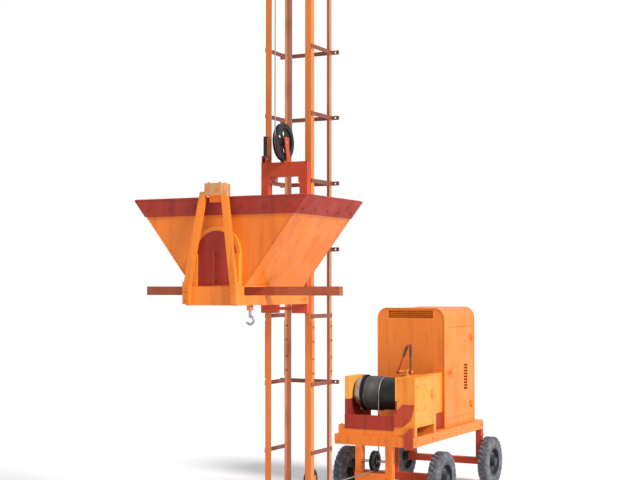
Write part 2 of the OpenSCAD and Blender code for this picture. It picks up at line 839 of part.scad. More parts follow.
module a_frame() {
  foot_y1 = front_box_y0;
  foot_y0 = foot_y1 - frame_bar_d;
  foot_z0 = cradle_z0 + frame_foot_up;
  cap_z0 = hopper_z1 + cap_up;
  cap_z1 = cap_z0 + cap_h;
  lug_y1 = hopper_y0 - band_t;
  lean_angle = atan(frame_lean / (cap_z1 - hopper_z0));
  bar_len = (cap_z0 + frame_bar_up - hopper_z0) / cos(lean_angle);
  color(orange) {
    both_sides() {
      block([frame_foot_hw - frame_bar_w / 2 - foot_step, foot_y0, foot_z0],
            [frame_foot_hw + frame_bar_w / 2 + foot_step, foot_y1, hopper_z0 + frame_bar_d]);
      translate([0, foot_y1, hopper_z0]) rotate([-lean_angle, 0, 0]) profile_y(-frame_bar_d, 0) polygon([
        [frame_foot_hw - frame_bar_w / 2, -frame_sink], [frame_foot_hw + frame_bar_w / 2, -frame_sink],
        [frame_top_hw + frame_bar_w / 2, bar_len], [frame_top_hw - frame_bar_w / 2, bar_len]
      ]);
    }
    block([cap_in - frame_top_hw, foot_y0 + frame_lean - cap_over, cap_z0],
          [frame_top_hw - cap_in, hopper_y0 + cap_back, cap_z1]);
    block([-lug_hw, lug_y1 - frame_bar_d, cap_z0 - lug_h], [lug_hw, lug_y1, cap_z0]);
  }
}

// Drum places along X: the rope leaves the drum over x = 0
drum_left = 220;
drum_x0 = -drum_left;
drum_x1 = drum_x0 + drum_len;
flange_t = 12;
drum_wall = 14;
window_hw = 35;
window_hh = 50;
shaft_r = 30;
brake_w = 80;
brake_r = 160;
brake_gap = 0.5;
brake_band_t = 6;
brake_band_edge = 5;
plate_gap = 20;
plate_t = 20;
left_plate_t = 40;
left_plate_x1 = drum_x0 - flange_t - brake_w - plate_gap;
left_plate_x0 = left_plate_x1 - left_plate_t;
right_plate_x0 = drum_x1 + flange_t + plate_gap;
right_plate_x1 = right_plate_x0 + plate_t;
gear_w = 40;
gear_side_gap = 8;
gear_x0 = right_plate_x1 + gear_side_gap;
gear_x1 = gear_x0 + gear_w;
gear_backlash = 0.8;
gear_spacing = (gear_teeth + pinion_teeth) * tooth_module / 2;
pinion_y = drum_y + gear_spacing;
counter_r = 22;

// Rope on the drum: turns side by side, up to the turn in which the leaving rope lies
rings_per_turn = 24;
tube_sides = 6;

function wrap_angle(turn) = 180 + 360 * (turn - wrap_turns);
function wrap_x(turn) = -wrap_pitch * (wrap_turns - turn + 1);
ring_r = wrap_r / cos(180 / rings_per_turn);
function wrap_point(turn) =
  [wrap_x(turn), drum_y + ring_r * cos(wrap_angle(turn)), drum_z + ring_r * sin(wrap_angle(turn))];
function wrap_out(turn) = [0, cos(wrap_angle(turn)), sin(wrap_angle(turn))];
function wrap_back(turn) = [0, sin(wrap_angle(turn)), -cos(wrap_angle(turn))];

wrap_steps = [for (i = [0 : wrap_turns * rings_per_turn]) i / rings_per_turn];
wrap_route = concat(
  [wrap_point(0) + rope_d * wrap_back(0)],
  [for (turn = wrap_steps) wrap_point(turn)]
);
wrap_outs = concat([wrap_out(0)], [for (turn = wrap_steps) wrap_out(turn)]);

// One ring of points round each point of a route
function tube_points(route, outs, r) = [
  for (i = [0 : len(route) - 1], k = [0 : tube_sides - 1])
    route[i] + r * (cos(k * 360 / tube_sides) * outs[i] + [sin(k * 360 / tube_sides), 0, 0])
];
function tube_faces(count) = concat(
  [for (i = [0 : count - 2], k = [0 : tube_sides - 1])
    [i * tube_sides + k, (i + 1) * tube_sides + k, (i + 1) * tube_sides + (k + 1) % tube_sides]],
  [for (i = [0 : count - 2], k = [0 : tube_sides - 1])
    [i * tube_sides + k, (i + 1) * tube_sides + (k + 1) % tube_sides,
     i * tube_sides + (k + 1) % tube_sides]],
  [for (k = [1 : tube_sides - 2]) [0, k, k + 1]],
  [for (k = [1 : tube_sides - 2]) (count - 1) * tube_sides * [1, 1, 1] + [0, k + 1, k]]
);

// Least distance between stretches of the rope that lie half a turn or more apart
function least_gap(route) = min([
  for (i = [0 : len(route) - 1 - rings_per_turn / 2], j = [i + rings_per_turn / 2 : len(route) - 1])
    norm(route[i] - route[j])
]) - rope_d;

module rope_drum_wrap() {
  echo(least_gap_on_drum = least_gap(wrap_route));
  color(rope_grey)
    polyhedron(tube_points(wrap_route, wrap_outs, rope_r), tube_faces(len(wrap_route)));
}

// Welded drum: a hollow barrel, closed on the left and with two windows in its right end
module drum() {
  clamp_at = wrap_point(0) + rope_d * wrap_back(0);
  hollow_r = drum_r - drum_wall;
  color(black_steel) {
    difference() {
      union() {
        rod_x(drum_x0, drum_x1, drum_y, drum_z, drum_r);
        rod_x(drum_x0 - flange_t, drum_x0, drum_y, drum_z, drum_flange_r);
        rod_x(drum_x1, drum_x1 + flange_t, drum_y, drum_z, drum_flange_r);
        rod_x(drum_x0 - flange_t - brake_w, drum_x0 - flange_t, drum_y, drum_z, brake_r);
      }
      rod_x(drum_x0, drum_x1, drum_y, drum_z, hollow_r);
      for (side = [-1, 1])
        translate([0, drum_y + side * (hollow_r + shaft_r) / 2, drum_z])
          block([drum_x1 - cut, -window_hw, -window_hh], [drum_x1 + flange_t + cut, window_hw, window_hh]);
    }
    rod_x(left_plate_x0, gear_x1 + flange_t, drum_y, drum_z, shaft_r);
    // Clamp that holds the rope's inner end
    translate(clamp_at) rotate([wrap_angle(0), 0, 0])
      block([-rope_d, drum_r - wrap_r - rope_r, -2 * rope_d], [rope_r, rope_d, 0]);
  }
}

// Points of one involute flank, from the base circle to the tip
flank_steps = 5;
pressure_angle = 20;
dedendum_share = 1.25;
function involute(base_r, roll) =
  base_r * [cos(roll) + roll * PI / 180 * sin(roll), sin(roll) - roll * PI / 180 * cos(roll)];
function roll_to(base_r, r) = r <= base_r ? 0 : sqrt(r * r / (base_r * base_r) - 1) * 180 / PI;
function turn_point(p, a) = [p[0] * cos(a) - p[1] * sin(a), p[0] * sin(a) + p[1] * cos(a)];

// Spur gear outline with a tooth on the +X axis
module gear_outline(teeth) {
  pitch_r = teeth * tooth_module / 2;
  base_r = pitch_r * cos(pressure_angle);
  tip_r = pitch_r + tooth_module;
  root_r = pitch_r - tooth_module * dedendum_share;
  start_r = max(base_r, root_r);
  roll_pitch = roll_to(base_r, pitch_r);
  flank_at = roll_pitch - pressure_angle;
  half_tooth = 90 / teeth - gear_backlash / 4 / pitch_r * 180 / PI;
  rolls = [for (i = [0 : flank_steps])
    roll_to(base_r, start_r) + (roll_to(base_r, tip_r) - roll_to(base_r, start_r)) * i / flank_steps];
  rising = [for (roll = rolls) turn_point(involute(base_r, roll), -half_tooth - flank_at)];
  falling = [for (i = [flank_steps : -1 : 0])
    turn_point([involute(base_r, rolls[i])[0], -involute(base_r, rolls[i])[1]], half_tooth + flank_at)];
  foot = half_tooth + flank_at;
  tooth = concat([turn_point([root_r, 0], -foot)], rising, falling, [turn_point([root_r, 0], foot)]);
  polygon([for (i = [0 : teeth - 1], p = tooth) turn_point(p, i * 360 / teeth)]);
}

module drum_gear() {
  color(black_steel) translate([0, drum_y, drum_z]) profile_x(gear_x0, gear_x1) difference() {
    gear_outline(gear_teeth);
    circle(r = shaft_r + bore_clear);
  }
}

// Belt drive from the engine to the clutch pulley
pulley_r = 110;
engine_pulley_r = 70;
pulley_w = 50;
pulley_gap = 15;
pulley_x0 = gear_x1 + pulley_gap;
pulley_x1 = pulley_x0 + pulley_w;
belt_w = 40;
belt_t = 10;
belt_edge = (pulley_w - belt_w) / 2;
outer_plate_gap = 20;
outer_plate_x0 = pulley_x1 + outer_plate_gap;
outer_plate_x1 = outer_plate_x0 + plate_t;
outer_plate_hw = 60;
canopy_y0 = chassis_y + canopy_back;
canopy_y1 = canopy_y0 + canopy_d;
crank_back = 350;
crank_y = canopy_y0 + crank_back;
crank_z = drum_z;

module countershaft() {
  color(bare_steel) translate([0, pinion_y, drum_z]) {
    profile_x(gear_x0, gear_x1) rotate([0, 0, 180 / pinion_teeth]) gear_outline(pinion_teeth);
    rod_x(right_plate_x0, outer_plate_x1, 0, 0, counter_r);
  }
}

module clutch_pulley() {
  color(black_steel) difference() {
    rod_x(pulley_x0, pulley_x1, pinion_y, drum_z, pulley_r);
    rod_x(pulley_x0 - cut, pulley_x1 + cut, pinion_y, drum_z, counter_r + bore_clear);
  }
}

// Belt: runs round each pulley and straight between them
belt_lean = asin((pulley_r - engine_pulley_r) / (crank_y - pinion_y));

belt_steps = 24;
belt_step = (180 + 2 * belt_lean) / belt_steps;

// Points of the belt's outline round a pulley, flats outside the pulley's rim
function belt_arc(y, r, start, sweep) = [
  for (i = [0 : belt_steps])
    let (a = start + sweep * i / belt_steps, out = (r + run_gap) / cos(belt_step / 2))
      [y + out * cos(a), drum_z + out * sin(a)]
];
function belt_loop(grow) = concat(
  belt_arc(pinion_y, pulley_r + grow, 90 - belt_lean, 180 + 2 * belt_lean),
  belt_arc(crank_y, engine_pulley_r + grow, belt_lean - 90, 180 - 2 * belt_lean)
);

module belts() {
  color(black_steel) profile_x(pulley_x0 + belt_edge, pulley_x1 - belt_edge) difference() {
    polygon(belt_loop(belt_t));
    polygon(belt_loop(0));
  }
}

// Winch frame: base bars, the two bearing plates, the outer bearing and the lever shaft
winch_front_gap = 50;
winch_y0 = chassis_y + winch_front_gap;
winch_back_gap = 100;
winch_y1 = pinion_y + winch_back_gap;
winch_bar_w = 60;
winch_bar_h = 100;
winch_bar_over = 80;
winch_z0 = deck_z + winch_bar_h;
plate_over = 200;
lever_shaft_r = 12;
lever_in = 340;
lever_y = winch_y0 + lever_in;
lever_clear = 40;
lever_up = drum_flange_r + lever_clear;
lever_z = drum_z + lever_up;
lever_hub_r = 25;
lever_w = 22;
lever_gap = 10;
lever_len = 290;
lever_t = 16;
lever_lean = 110;
knob_r = 18;
brake_lever_x = right_plate_x0 - lever_gap - lever_lean;
clutch_lever_x = right_plate_x1 + lever_gap;
shelf_t = 20;
shelf_hw = 25;
shelf_z1 = drum_z - brake_r - brake_gap - brake_band_t - shelf_t;
shelf_x1 = drum_x0 - flange_t - brake_band_edge;

module winch_frame() {
  bar_x0 = left_plate_x0 - winch_bar_over;
  bar_x1 = cover_x1;
  top_z = drum_z + plate_over;
  color(orange) difference() {
    union() {
      for (y = [winch_y0, winch_y1 - winch_bar_w])
        block([bar_x0, y, deck_z], [bar_x1, y + winch_bar_w, winch_z0]);
      profile_x(left_plate_x0, left_plate_x1) polygon([
        [winch_y0, winch_z0], [winch_y1, winch_z0], [winch_y1, drum_z + shaft_r],
        [drum_y + plate_over / 2, top_z], [winch_y0, top_z]
      ]);
      block([right_plate_x0, winch_y0, winch_z0], [right_plate_x1, winch_y1, top_z]);
      block([right_plate_x0, lever_y - lever_hub_r, top_z],
            [right_plate_x1, lever_y + lever_hub_r, lever_z + lever_hub_r]);
      block([outer_plate_x0, pinion_y - outer_plate_hw, winch_z0],
            [outer_plate_x1, pinion_y + outer_plate_hw, drum_z + outer_plate_hw]);
      block([outer_plate_x0, winch_y1 - winch_bar_w, winch_z0],
            [outer_plate_x1, winch_y1 - cover_t, winch_z0 + winch_bar_w]);
      rod_x(brake_lever_x - lever_gap, clutch_lever_x + lever_w + lever_gap,
            lever_y, lever_z, lever_shaft_r);
      block([left_plate_x1, drum_y - shelf_hw, shelf_z1 - shelf_t], [shelf_x1, drum_y + shelf_hw, shelf_z1]);
    }
    rod_x(left_plate_x0 - cut, right_plate_x1 + cut, drum_y, drum_z, shaft_r + bore_clear);
    rod_x(right_plate_x0 - cut, outer_plate_x1 + cut, pinion_y, drum_z, counter_r + bore_clear);
  }
}

module brake_band() {
  band_r = brake_r + brake_gap;
  band_x0 = drum_x0 - flange_t - brake_w + brake_band_edge;
  band_x1 = shelf_x1;
  color(bare_steel) difference() {
    union() {
      rod_x(band_x0, band_x1, drum_y, drum_z, band_r + brake_band_t);
      block([band_x0, drum_y - shelf_hw, shelf_z1], [band_x1, drum_y + shelf_hw, drum_z - brake_r]);
    }
    rod_x(band_x0 - cut, band_x1 + cut, drum_y, drum_z, band_r);
    block([band_x0 - cut, drum_y, drum_z + brake_r / 2],
          [band_x1 + cut, drum_y + shelf_hw, drum_z + 2 * brake_r]);
  }
}

module lever(x, lean) {
  tip = [x + lever_w / 2 + lean, lever_z + lever_len];
  color(black_steel) difference() {
    union() {
      rod_x(x, x + lever_w, lever_y, lever_z, lever_hub_r);
      profile_y(lever_y - lever_t / 2, lever_y + lever_t / 2) polygon([
        [x, lever_z], [x + lever_w, lever_z], tip + [lever_t / 2, 0], tip - [lever_t / 2, 0]
      ]);
      translate([tip[0], lever_y, tip[1]]) sphere(r = knob_r);
    }
    rod_x(x - cut, x + lever_w + lever_gap, lever_y, lever_z, lever_shaft_r + bore_clear);
  }
}

module brake_lever() { lever(brake_lever_x, lever_lean); }

module clutch_lever() { lever(clutch_lever_x, 0); }

// Cover over the gears and the belt
cover_t = 5;
cover_gap = 60;
cover_x1 = outer_plate_x1 + cover_gap;
cover_z1 = drum_z + plate_over;
tunnel_gap = 20;
tunnel_x0 = pulley_x0 - tunnel_gap;
tunnel_x1 = pulley_x1 + tunnel_gap;
tunnel_hh = pulley_r + belt_t + tunnel_gap;
guard_drop = 110;
guard_z0 = drum_z - tunnel_hh - guard_drop;

module gear_cover() {
  color(orange) difference() {
    union() {
      block([right_plate_x1, winch_y0, winch_z0], [cover_x1, winch_y1, cover_z1]);
      block([tunnel_x0, winch_y1, guard_z0], [tunnel_x1, canopy_y0, cover_z1]);
    }
    block([right_plate_x1 - cut, winch_y0 + cover_t, winch_z0 - cut],
          [cover_x1 - cover_t, winch_y1 - cover_t, cover_z1 - cover_t]);
    block([tunnel_x0 + cover_t, winch_y1 - cover_t - cut, guard_z0 + cover_t],
          [tunnel_x1 - cover_t, canopy_y0 + cut, cover_z1 - cover_t]);
  }
}

// Engine under the canopy
block_x0 = -250;
block_x1 = 150;
block_hd = 200;
block_h = 450;
bearer_h = 80;
bearer_w = 50;
bearer_over = 60;
cylinder_r = 90;
cylinder_h = 270;
fin_r = 98;
fin_t = 10;
fin_count = 6;
crank_r = 25;
crank_bore = 60;
flywheel_r = 220;
flywheel_w = 60;
flywheel_gap = 30;
tank_h = 200;
tank_d = 180;
tank_gap = 70;

module engine() {
  block_z0 = deck_z + bearer_h;
  block_z1 = block_z0 + block_h;
  fin_pitch = cylinder_h / (fin_count + 1);
  color(bare_steel) difference() {
    union() {
      block([block_x0, crank_y - block_hd, block_z0], [block_x1, crank_y + block_hd, block_z1]);
      for (x = [block_x0, block_x1 - bearer_w])
        block([x, crank_y - block_hd - bearer_over, deck_z],
              [x + bearer_w, crank_y + block_hd + bearer_over, block_z0]);
      for (x = [block_x0 + block_hd / 2, block_x1 - block_hd / 2]) {
        rod_z(block_z1, block_z1 + cylinder_h, x, crank_y, cylinder_r);
        for (i = [1 : fin_count])
          rod_z(block_z1 + i * fin_pitch, block_z1 + i * fin_pitch + fin_t, x, crank_y, fin_r);
      }
      block([block_x0, crank_y + block_hd, block_z1 - tank_gap - tank_h],
            [block_x1, crank_y + block_hd + tank_d, block_z1 - tank_gap]);
    }
    rod_x(block_x1 - crank_bore, block_x1 + cut, crank_y, crank_z, crank_r + bore_clear);
  }
}

module flywheel() {
  wheel_x0 = block_x1 + flywheel_gap;
  color(black_steel) {
    rod_x(block_x1 - crank_bore + run_gap, pulley_x1, crank_y, crank_z, crank_r);
    rod_x(wheel_x0, wheel_x0 + flywheel_w, crank_y, crank_z, flywheel_r);
    rod_x(pulley_x0, pulley_x1, crank_y, crank_z, engine_pulley_r);
  }
}

// Canopy and its side door
canopy_t = 4;
belt_side_gap = 49;
canopy_x1 = pulley_x1 + belt_side_gap;
canopy_x0 = canopy_x1 - canopy_w;
canopy_mid_x = (canopy_x0 + canopy_x1) / 2;
canopy_z1 = deck_z + canopy_h;
door_margin = 100;
door_gap = 3;
door_y0 = canopy_y0 + door_margin;
door_y1 = canopy_y1 - door_margin;
door_z0 = deck_z + door_margin;
door_z1 = canopy_z1 - canopy_r - door_margin;
vent_w = 560;
vent_h = 90;
vent_drop = 20;
slot_w = 120;
slot_h = 300;
slot_back_share = 0.68;
slot_up_share = 0.43;
hinge_r = 11;
hinge_pin_r = 6;
hinge_h = 60;
hinge_lug_h = 20;
hinge_shares = [0.12, 0.88];
hinge_x = canopy_x1 + hinge_r;
hinge_leaf = 45;

module canopy_outline(inset) {
  x0 = canopy_x0 + inset;
  x1 = canopy_x1 - inset;
  z1 = canopy_z1 - inset;
  r = canopy_r - inset;
  translate([x0, deck_z]) square([x1 - x0, z1 - r - deck_z]);
  translate([x0 + r, deck_z]) square([x1 - x0 - 2 * r, z1 - deck_z]);
  for (x = [x0 + r, x1 - r]) translate([x, z1 - r]) circle(r = r);
}

function hinge_z(share) = door_z0 + share * (door_z1 - door_z0);

module canopy() {
  color(orange) {
    difference() {
      profile_y(canopy_y0, canopy_y1) canopy_outline(0);
      profile_y(canopy_y0 + canopy_t, canopy_y1 - canopy_t) canopy_outline(canopy_t);
      block([canopy_x0 + canopy_t, canopy_y0 + canopy_t, deck_z - cut],
            [canopy_x1 - canopy_t, canopy_y1 - canopy_t, deck_z + cut]);
      block([canopy_x1 - 2 * canopy_t, door_y0, door_z0], [canopy_x1 + cut, door_y1, door_z1]);
      block([canopy_mid_x - vent_w / 2, canopy_y0 - cut, canopy_z1 - vent_drop - vent_h],
            [canopy_mid_x + vent_w / 2, canopy_y0 + canopy_t + cut, canopy_z1 - vent_drop]);
      block([tunnel_x0 + cover_t, canopy_y0 - cut, drum_z - tunnel_hh + cover_t],
            [tunnel_x1 - cover_t, canopy_y0 + canopy_t + cut, drum_z + tunnel_hh - cover_t]);
    }
    for (share = hinge_shares) {
      barrel_z0 = hinge_z(share) - hinge_h / 2;
      rod_z(barrel_z0 - hinge_lug_h, barrel_z0 + hinge_h, hinge_x, door_y1, hinge_pin_r);
      rod_z(barrel_z0 - hinge_lug_h, barrel_z0, hinge_x, door_y1, hinge_r);
      block([canopy_x1 - canopy_t / 2, door_y1, barrel_z0 - hinge_lug_h],
            [hinge_x, door_y1 + hinge_leaf, barrel_z0]);
    }
  }
}

module canopy_door() {
  slot_y0 = door_y0 + slot_back_share * (door_y1 - door_y0);
  slot_z0 = door_z0 + slot_up_share * (door_z1 - door_z0) - slot_h / 2;
  color(orange) difference() {
    union() {
      block([canopy_x1 - canopy_t, door_y0 + door_gap, door_z0 + door_gap],
            [canopy_x1, door_y1 - door_gap, door_z1 - door_gap]);
      for (share = hinge_shares) {
        barrel_z0 = hinge_z(share) - hinge_h / 2 + run_gap;
        barrel_z1 = hinge_z(share) + hinge_h / 2;
        rod_z(barrel_z0, barrel_z1, hinge_x, door_y1, hinge_r);
        block([canopy_x1 - canopy_t / 2, door_y1 - hinge_leaf, barrel_z0],
              [hinge_x, door_y1 - door_gap, barrel_z1]);
      }
    }
    for (share = hinge_shares)
      rod_z(hinge_z(share) - hinge_h, hinge_z(share) + hinge_h, hinge_x, door_y1, hinge_pin_r + bore_clear);
    block([canopy_x1 - canopy_t - cut, slot_y0, slot_z0],
          [canopy_x1 + cut, slot_y0 + slot_w, slot_z0 + slot_h]);
  }
}

// Chassis and wheels
front_axle_y = chassis_y + front_axle_back;
chassis_y1 = chassis_y + chassis_len;
rear_axle_y = chassis_y1 - rear_overhang;
axle_z = tyre_r;
axle_hw = 40;
kingpin_r = 30;
kingpin_len = 280;
sleeve_r = 55;
turntable_r = 140;
turntable_t = 20;
wheel_gap = 12;
beam_end_x = track_w / 2 - tyre_w / 2 - wheel_gap;
spindle_x1 = track_w / 2 + tyre_w / 2;
hanger_w = 70;
rope_slot_hw = 40;
rim_r = 180;
rim_wall = 20;
rim_edge = 10;
disc_hw = 8;
hub_r = 55;
tyre_shoulder = 32;

module chassis_frame() {
  hw = chassis_w / 2;
  color(orange) difference() {
    union() {
      // Side rails, channels open inwards
      both_sides() difference() {
        block([hw - frame_beam_w, chassis_y, frame_z0], [hw, chassis_y1, frame_z1]);
        block([hw - frame_beam_w - cut, chassis_y + section_t, frame_z0 + section_t],
              [hw - section_t, chassis_y1 - section_t, frame_z1 - section_t]);
      }
      // Cross beams, channels open to the back
      for (y = [chassis_y, front_axle_y - frame_beam_w / 2, rear_axle_y - frame_beam_w / 2])
        difference() {
          block([-hw + section_t, y, frame_z0], [hw - section_t, y + frame_beam_w, frame_z1]);
          block([-hw, y + section_t, frame_z0 + section_t],
                [hw, y + frame_beam_w + cut, frame_z1 - section_t]);
        }
      block([-hw, chassis_y, frame_z1], [hw, chassis_y1, deck_z]);
      rod_z(frame_z0 - kingpin_len, frame_z0, 0, front_axle_y, kingpin_r);
    }
    block([-rope_slot_hw, haul_y - rope_slot_hw, frame_z1 - cut],
          [rope_slot_hw, haul_y + rope_slot_hw, deck_z + cut]);
  }
}

module axle_beam(y) {
  block([-beam_end_x, y - axle_hw, axle_z - axle_hw], [beam_end_x, y + axle_hw, axle_z + axle_hw]);
  both_sides() rod_x(beam_end_x, spindle_x1, y, axle_z, spindle_r);
}

module front_axle() {
  sleeve_z1 = frame_z0 - run_gap;
  color(orange) difference() {
    union() {
      axle_beam(front_axle_y);
      rod_z(axle_z + axle_hw, sleeve_z1, 0, front_axle_y, sleeve_r);
      rod_z(sleeve_z1 - turntable_t, sleeve_z1, 0, front_axle_y, turntable_r);
    }
    rod_z(frame_z0 - kingpin_len - cut, frame_z0, 0, front_axle_y, kingpin_r + bore_clear);
  }
}

module rear_axle() {
  hanger_x1 = chassis_w / 2;
  color(orange) {
    axle_beam(rear_axle_y);
    both_sides()
      block([hanger_x1 - hanger_w, rear_axle_y - axle_hw, axle_z + axle_hw],
            [hanger_x1, rear_axle_y + axle_hw, frame_z0]);
  }
}

module tyre(x, y) {
  hw = tyre_w / 2;
  color(tyre_grey) translate([x, y, axle_z]) rotate([0, 90, 0]) rotate_extrude() {
    translate([rim_r, -hw]) square([tyre_r - tyre_shoulder - rim_r, tyre_w]);
    translate([rim_r, -hw + tyre_shoulder]) square([tyre_r - rim_r, tyre_w - 2 * tyre_shoulder]);
    for (side = [-1, 1])
      translate([tyre_r - tyre_shoulder, side * (hw - tyre_shoulder)]) circle(r = tyre_shoulder);
  }
}

module rim(x, y) {
  seat_r = rim_r - bore_clear;
  well_r = seat_r - rim_wall;
  bore_r = spindle_r + bore_clear;
  hub_hw = tyre_w / 2;
  rim_hw = hub_hw - rim_edge;
  color(bare_steel) translate([x, y, axle_z]) rotate([0, 90, 0]) rotate_extrude() polygon([
    [bore_r, -hub_hw], [hub_r, -hub_hw], [hub_r, -disc_hw], [well_r, -disc_hw], [well_r, -rim_hw],
    [seat_r, -rim_hw], [seat_r, rim_hw], [well_r, rim_hw], [well_r, disc_hw], [hub_r, disc_hw],
    [hub_r, hub_hw], [bore_r, hub_hw]
  ]);
}

wheel_x = track_w / 2;

base_plate();
base_rails();
link_posts();
front_legs();
rear_legs();
side_rungs();
rear_bars();
splice_plates();
tower_bolts();
head_frame();
sheave_pins();
head_sheave();
foot_sheave();
lead_sheave();
rope_lead();
rope_fall_live();
rope_fall_dead();
rope_carriage_wrap();
rope_drum_wrap();
carriage_frame();
carriage_pins();
carriage_sheave();
upper_rollers();
lower_rollers();
safety_catch();
cradle();
landing_beam();
hopper();
rim_band();
gate_ring();
gate_plate();
a_frame();
hook();
chassis_frame();
front_axle();
rear_axle();
tyre(-wheel_x, front_axle_y);  // tyre_front_left
tyre(wheel_x, front_axle_y);  // tyre_front_right
tyre(-wheel_x, rear_axle_y);  // tyre_rear_left
tyre(wheel_x, rear_axle_y);  // tyre_rear_right
rim(-wheel_x, front_axle_y);  // rim_front_left
rim(wheel_x, front_axle_y);  // rim_front_right
rim(-wheel_x, rear_axle_y);  // rim_rear_left
rim(wheel_x, rear_axle_y);  // rim_rear_right
winch_frame();
drum();
drum_gear();
countershaft();
clutch_pulley();
gear_cover();
brake_band();
brake_lever();
clutch_lever();
engine();
flywheel();
belts();
canopy();
canopy_door();
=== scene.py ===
# %% [markdown]
# # A mobile tower hoist, dressed in Blender
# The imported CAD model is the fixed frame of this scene: every node already stands at its real
# place, in metres. This lesson gives each node a finish, and adds the rope lay, tyre treads,
# louvres, welds and bolt heads that a plain solid lacks.

# %% Load the frame
import math

import bmesh
import bpy
from mathutils import Matrix, Vector


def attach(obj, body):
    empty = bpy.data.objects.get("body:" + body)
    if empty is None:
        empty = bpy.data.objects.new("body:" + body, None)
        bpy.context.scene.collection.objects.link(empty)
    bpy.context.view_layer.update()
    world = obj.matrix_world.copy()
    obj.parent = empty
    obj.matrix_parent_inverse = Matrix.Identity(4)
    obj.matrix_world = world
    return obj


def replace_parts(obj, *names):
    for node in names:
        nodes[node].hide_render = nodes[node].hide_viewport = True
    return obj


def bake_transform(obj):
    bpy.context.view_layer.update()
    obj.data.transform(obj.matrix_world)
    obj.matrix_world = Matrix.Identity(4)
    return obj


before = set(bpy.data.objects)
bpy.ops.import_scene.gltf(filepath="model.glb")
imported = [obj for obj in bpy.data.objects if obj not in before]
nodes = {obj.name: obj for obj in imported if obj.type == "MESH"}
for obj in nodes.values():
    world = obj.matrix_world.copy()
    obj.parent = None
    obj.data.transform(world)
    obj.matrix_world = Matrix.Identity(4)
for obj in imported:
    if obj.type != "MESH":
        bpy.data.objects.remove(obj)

scene = bpy.context.scene
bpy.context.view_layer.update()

# %% [markdown]
# ## Camera
# The photograph was taken from the hoist's front right. The camera's place, its tilt and its lens
# were fitted to edges of known size: mast legs, rungs, hopper corners, canopy and wheels.

# %% Camera
AZIMUTH = math.radians(27.1)
TILT = math.radians(2.106)
EYE = Vector((5.8902, -11.0538, 2.4297))
FOCAL_PX, PHOTO_W, SENSOR_W = 1278.56, 640, 36
look = Vector((-math.sin(AZIMUTH) * math.cos(TILT), math.cos(AZIMUTH) * math.cos(TILT), math.sin(TILT)))
camera_data = bpy.data.cameras.new("camera")
camera_data.sensor_width = SENSOR_W
camera_data.lens = FOCAL_PX * SENSOR_W / PHOTO_W
camera_data.clip_end = 200
camera = bpy.data.objects.new("camera", camera_data)
camera.location = EYE
camera.rotation_euler = look.to_track_quat("-Z", "Y").to_euler()
scene.collection.objects.link(camera)
scene.camera = camera
print("lens in mm:", round(camera_data.lens, 2))

# %% [markdown]
# ## Light and floor
# In the photograph the faces turned to the right are the brightest and the background is white.
# One broad sun stands to the right, and an even world fills the shadows. The floor is pale, so
# it sends light up to the hopper's sloping underside, as a concrete yard does.

# %% Sun, world and floor
SUN_HEADING = Vector((-0.80, 0.24, -0.55))
FLOOR_REACH, FLOOR_DROP = 90, 0.002
sun_data = bpy.data.lights.new("sun", "SUN")
sun_data.energy = 3.3
sun_data.angle = math.radians(14)
sun_data.color = (1.0, 0.97, 0.92)
sun = bpy.data.objects.new("sun", sun_data)
sun.rotation_euler = SUN_HEADING.to_track_quat("-Z", "Y").to_euler()
scene.collection.objects.link(sun)

world = bpy.data.worlds.new("studio")
scene.world = world
world.use_nodes = True
sky = world.node_tree
sky.nodes.clear()
sky_out = sky.nodes.new("ShaderNodeOutputWorld")
sky_mix = sky.nodes.new("ShaderNodeMixShader")
sky_fill = sky.nodes.new("ShaderNodeBackground")
sky_fill.inputs["Color"].default_value = (0.93, 0.96, 1.0, 1)
sky_fill.inputs["Strength"].default_value = 0.58
sky_seen = sky.nodes.new("ShaderNodeBackground")
sky_seen.inputs["Color"].default_value = (1, 1, 1, 1)
sky_rays = sky.nodes.new("ShaderNodeLightPath")
sky_share = sky_rays.outputs["Is Camera Ray"]
for ray in ("Is Glossy Ray", "Is Transmission Ray"):
    either = sky.nodes.new("ShaderNodeMath")
    either.operation = "MAXIMUM"
    sky.links.new(sky_share, either.inputs[0])
    sky.links.new(sky_rays.outputs[ray], either.inputs[1])
    sky_share = either.outputs[0]
sky.links.new(sky_share, sky_mix.inputs[0])
sky.links.new(sky_fill.outputs[0], sky_mix.inputs[1])
sky.links.new(sky_seen.outputs[0], sky_mix.inputs[2])
sky.links.new(sky_mix.outputs[0], sky_out.inputs[0])

floor_mesh = bmesh.new()
bmesh.ops.create_grid(floor_mesh, x_segments=2, y_segments=2, size=FLOOR_REACH)
bmesh.ops.translate(floor_mesh, verts=floor_mesh.verts, vec=(0, 0, -FLOOR_DROP))
floor_data = bpy.data.meshes.new("floor")
floor_mesh.to_mesh(floor_data)
floor_mesh.free()
floor = bpy.data.objects.new("floor", floor_data)
scene.collection.objects.link(floor)
floor_finish = bpy.data.materials.new("pale_floor")
floor_finish.use_nodes = True
floor_shader = floor_finish.node_tree.nodes["Principled BSDF"]
floor_shader.inputs["Base Color"].default_value = (0.94, 0.94, 0.94, 1)
floor_shader.inputs["Roughness"].default_value = 0.9
floor_data.materials.append(floor_finish)
scene.view_settings.view_transform = "Standard"
print("lit from the right, on a pale floor")

# %% [markdown]
# ## Finishes
# Each finish is a small node tree on Object coordinates, because every object sits at the origin
# and so the pattern has its real scale in metres. Helpers make the noise, ramp, mix and bump nodes.

# %% Node helpers
def new_finish(name, roughness, metallic=0.0, coat=0.0):
    finish = bpy.data.materials.new(name)
    finish.use_nodes = True
    tree = finish.node_tree
    shader = tree.nodes["Principled BSDF"]
    shader.inputs["Roughness"].default_value = roughness
    shader.inputs["Metallic"].default_value = metallic
    shader.inputs["Specular IOR Level"].default_value = 0.35
    shader.inputs["Coat Weight"].default_value = coat
    shader.inputs["Coat Roughness"].default_value = 0.12
    return finish, tree, shader


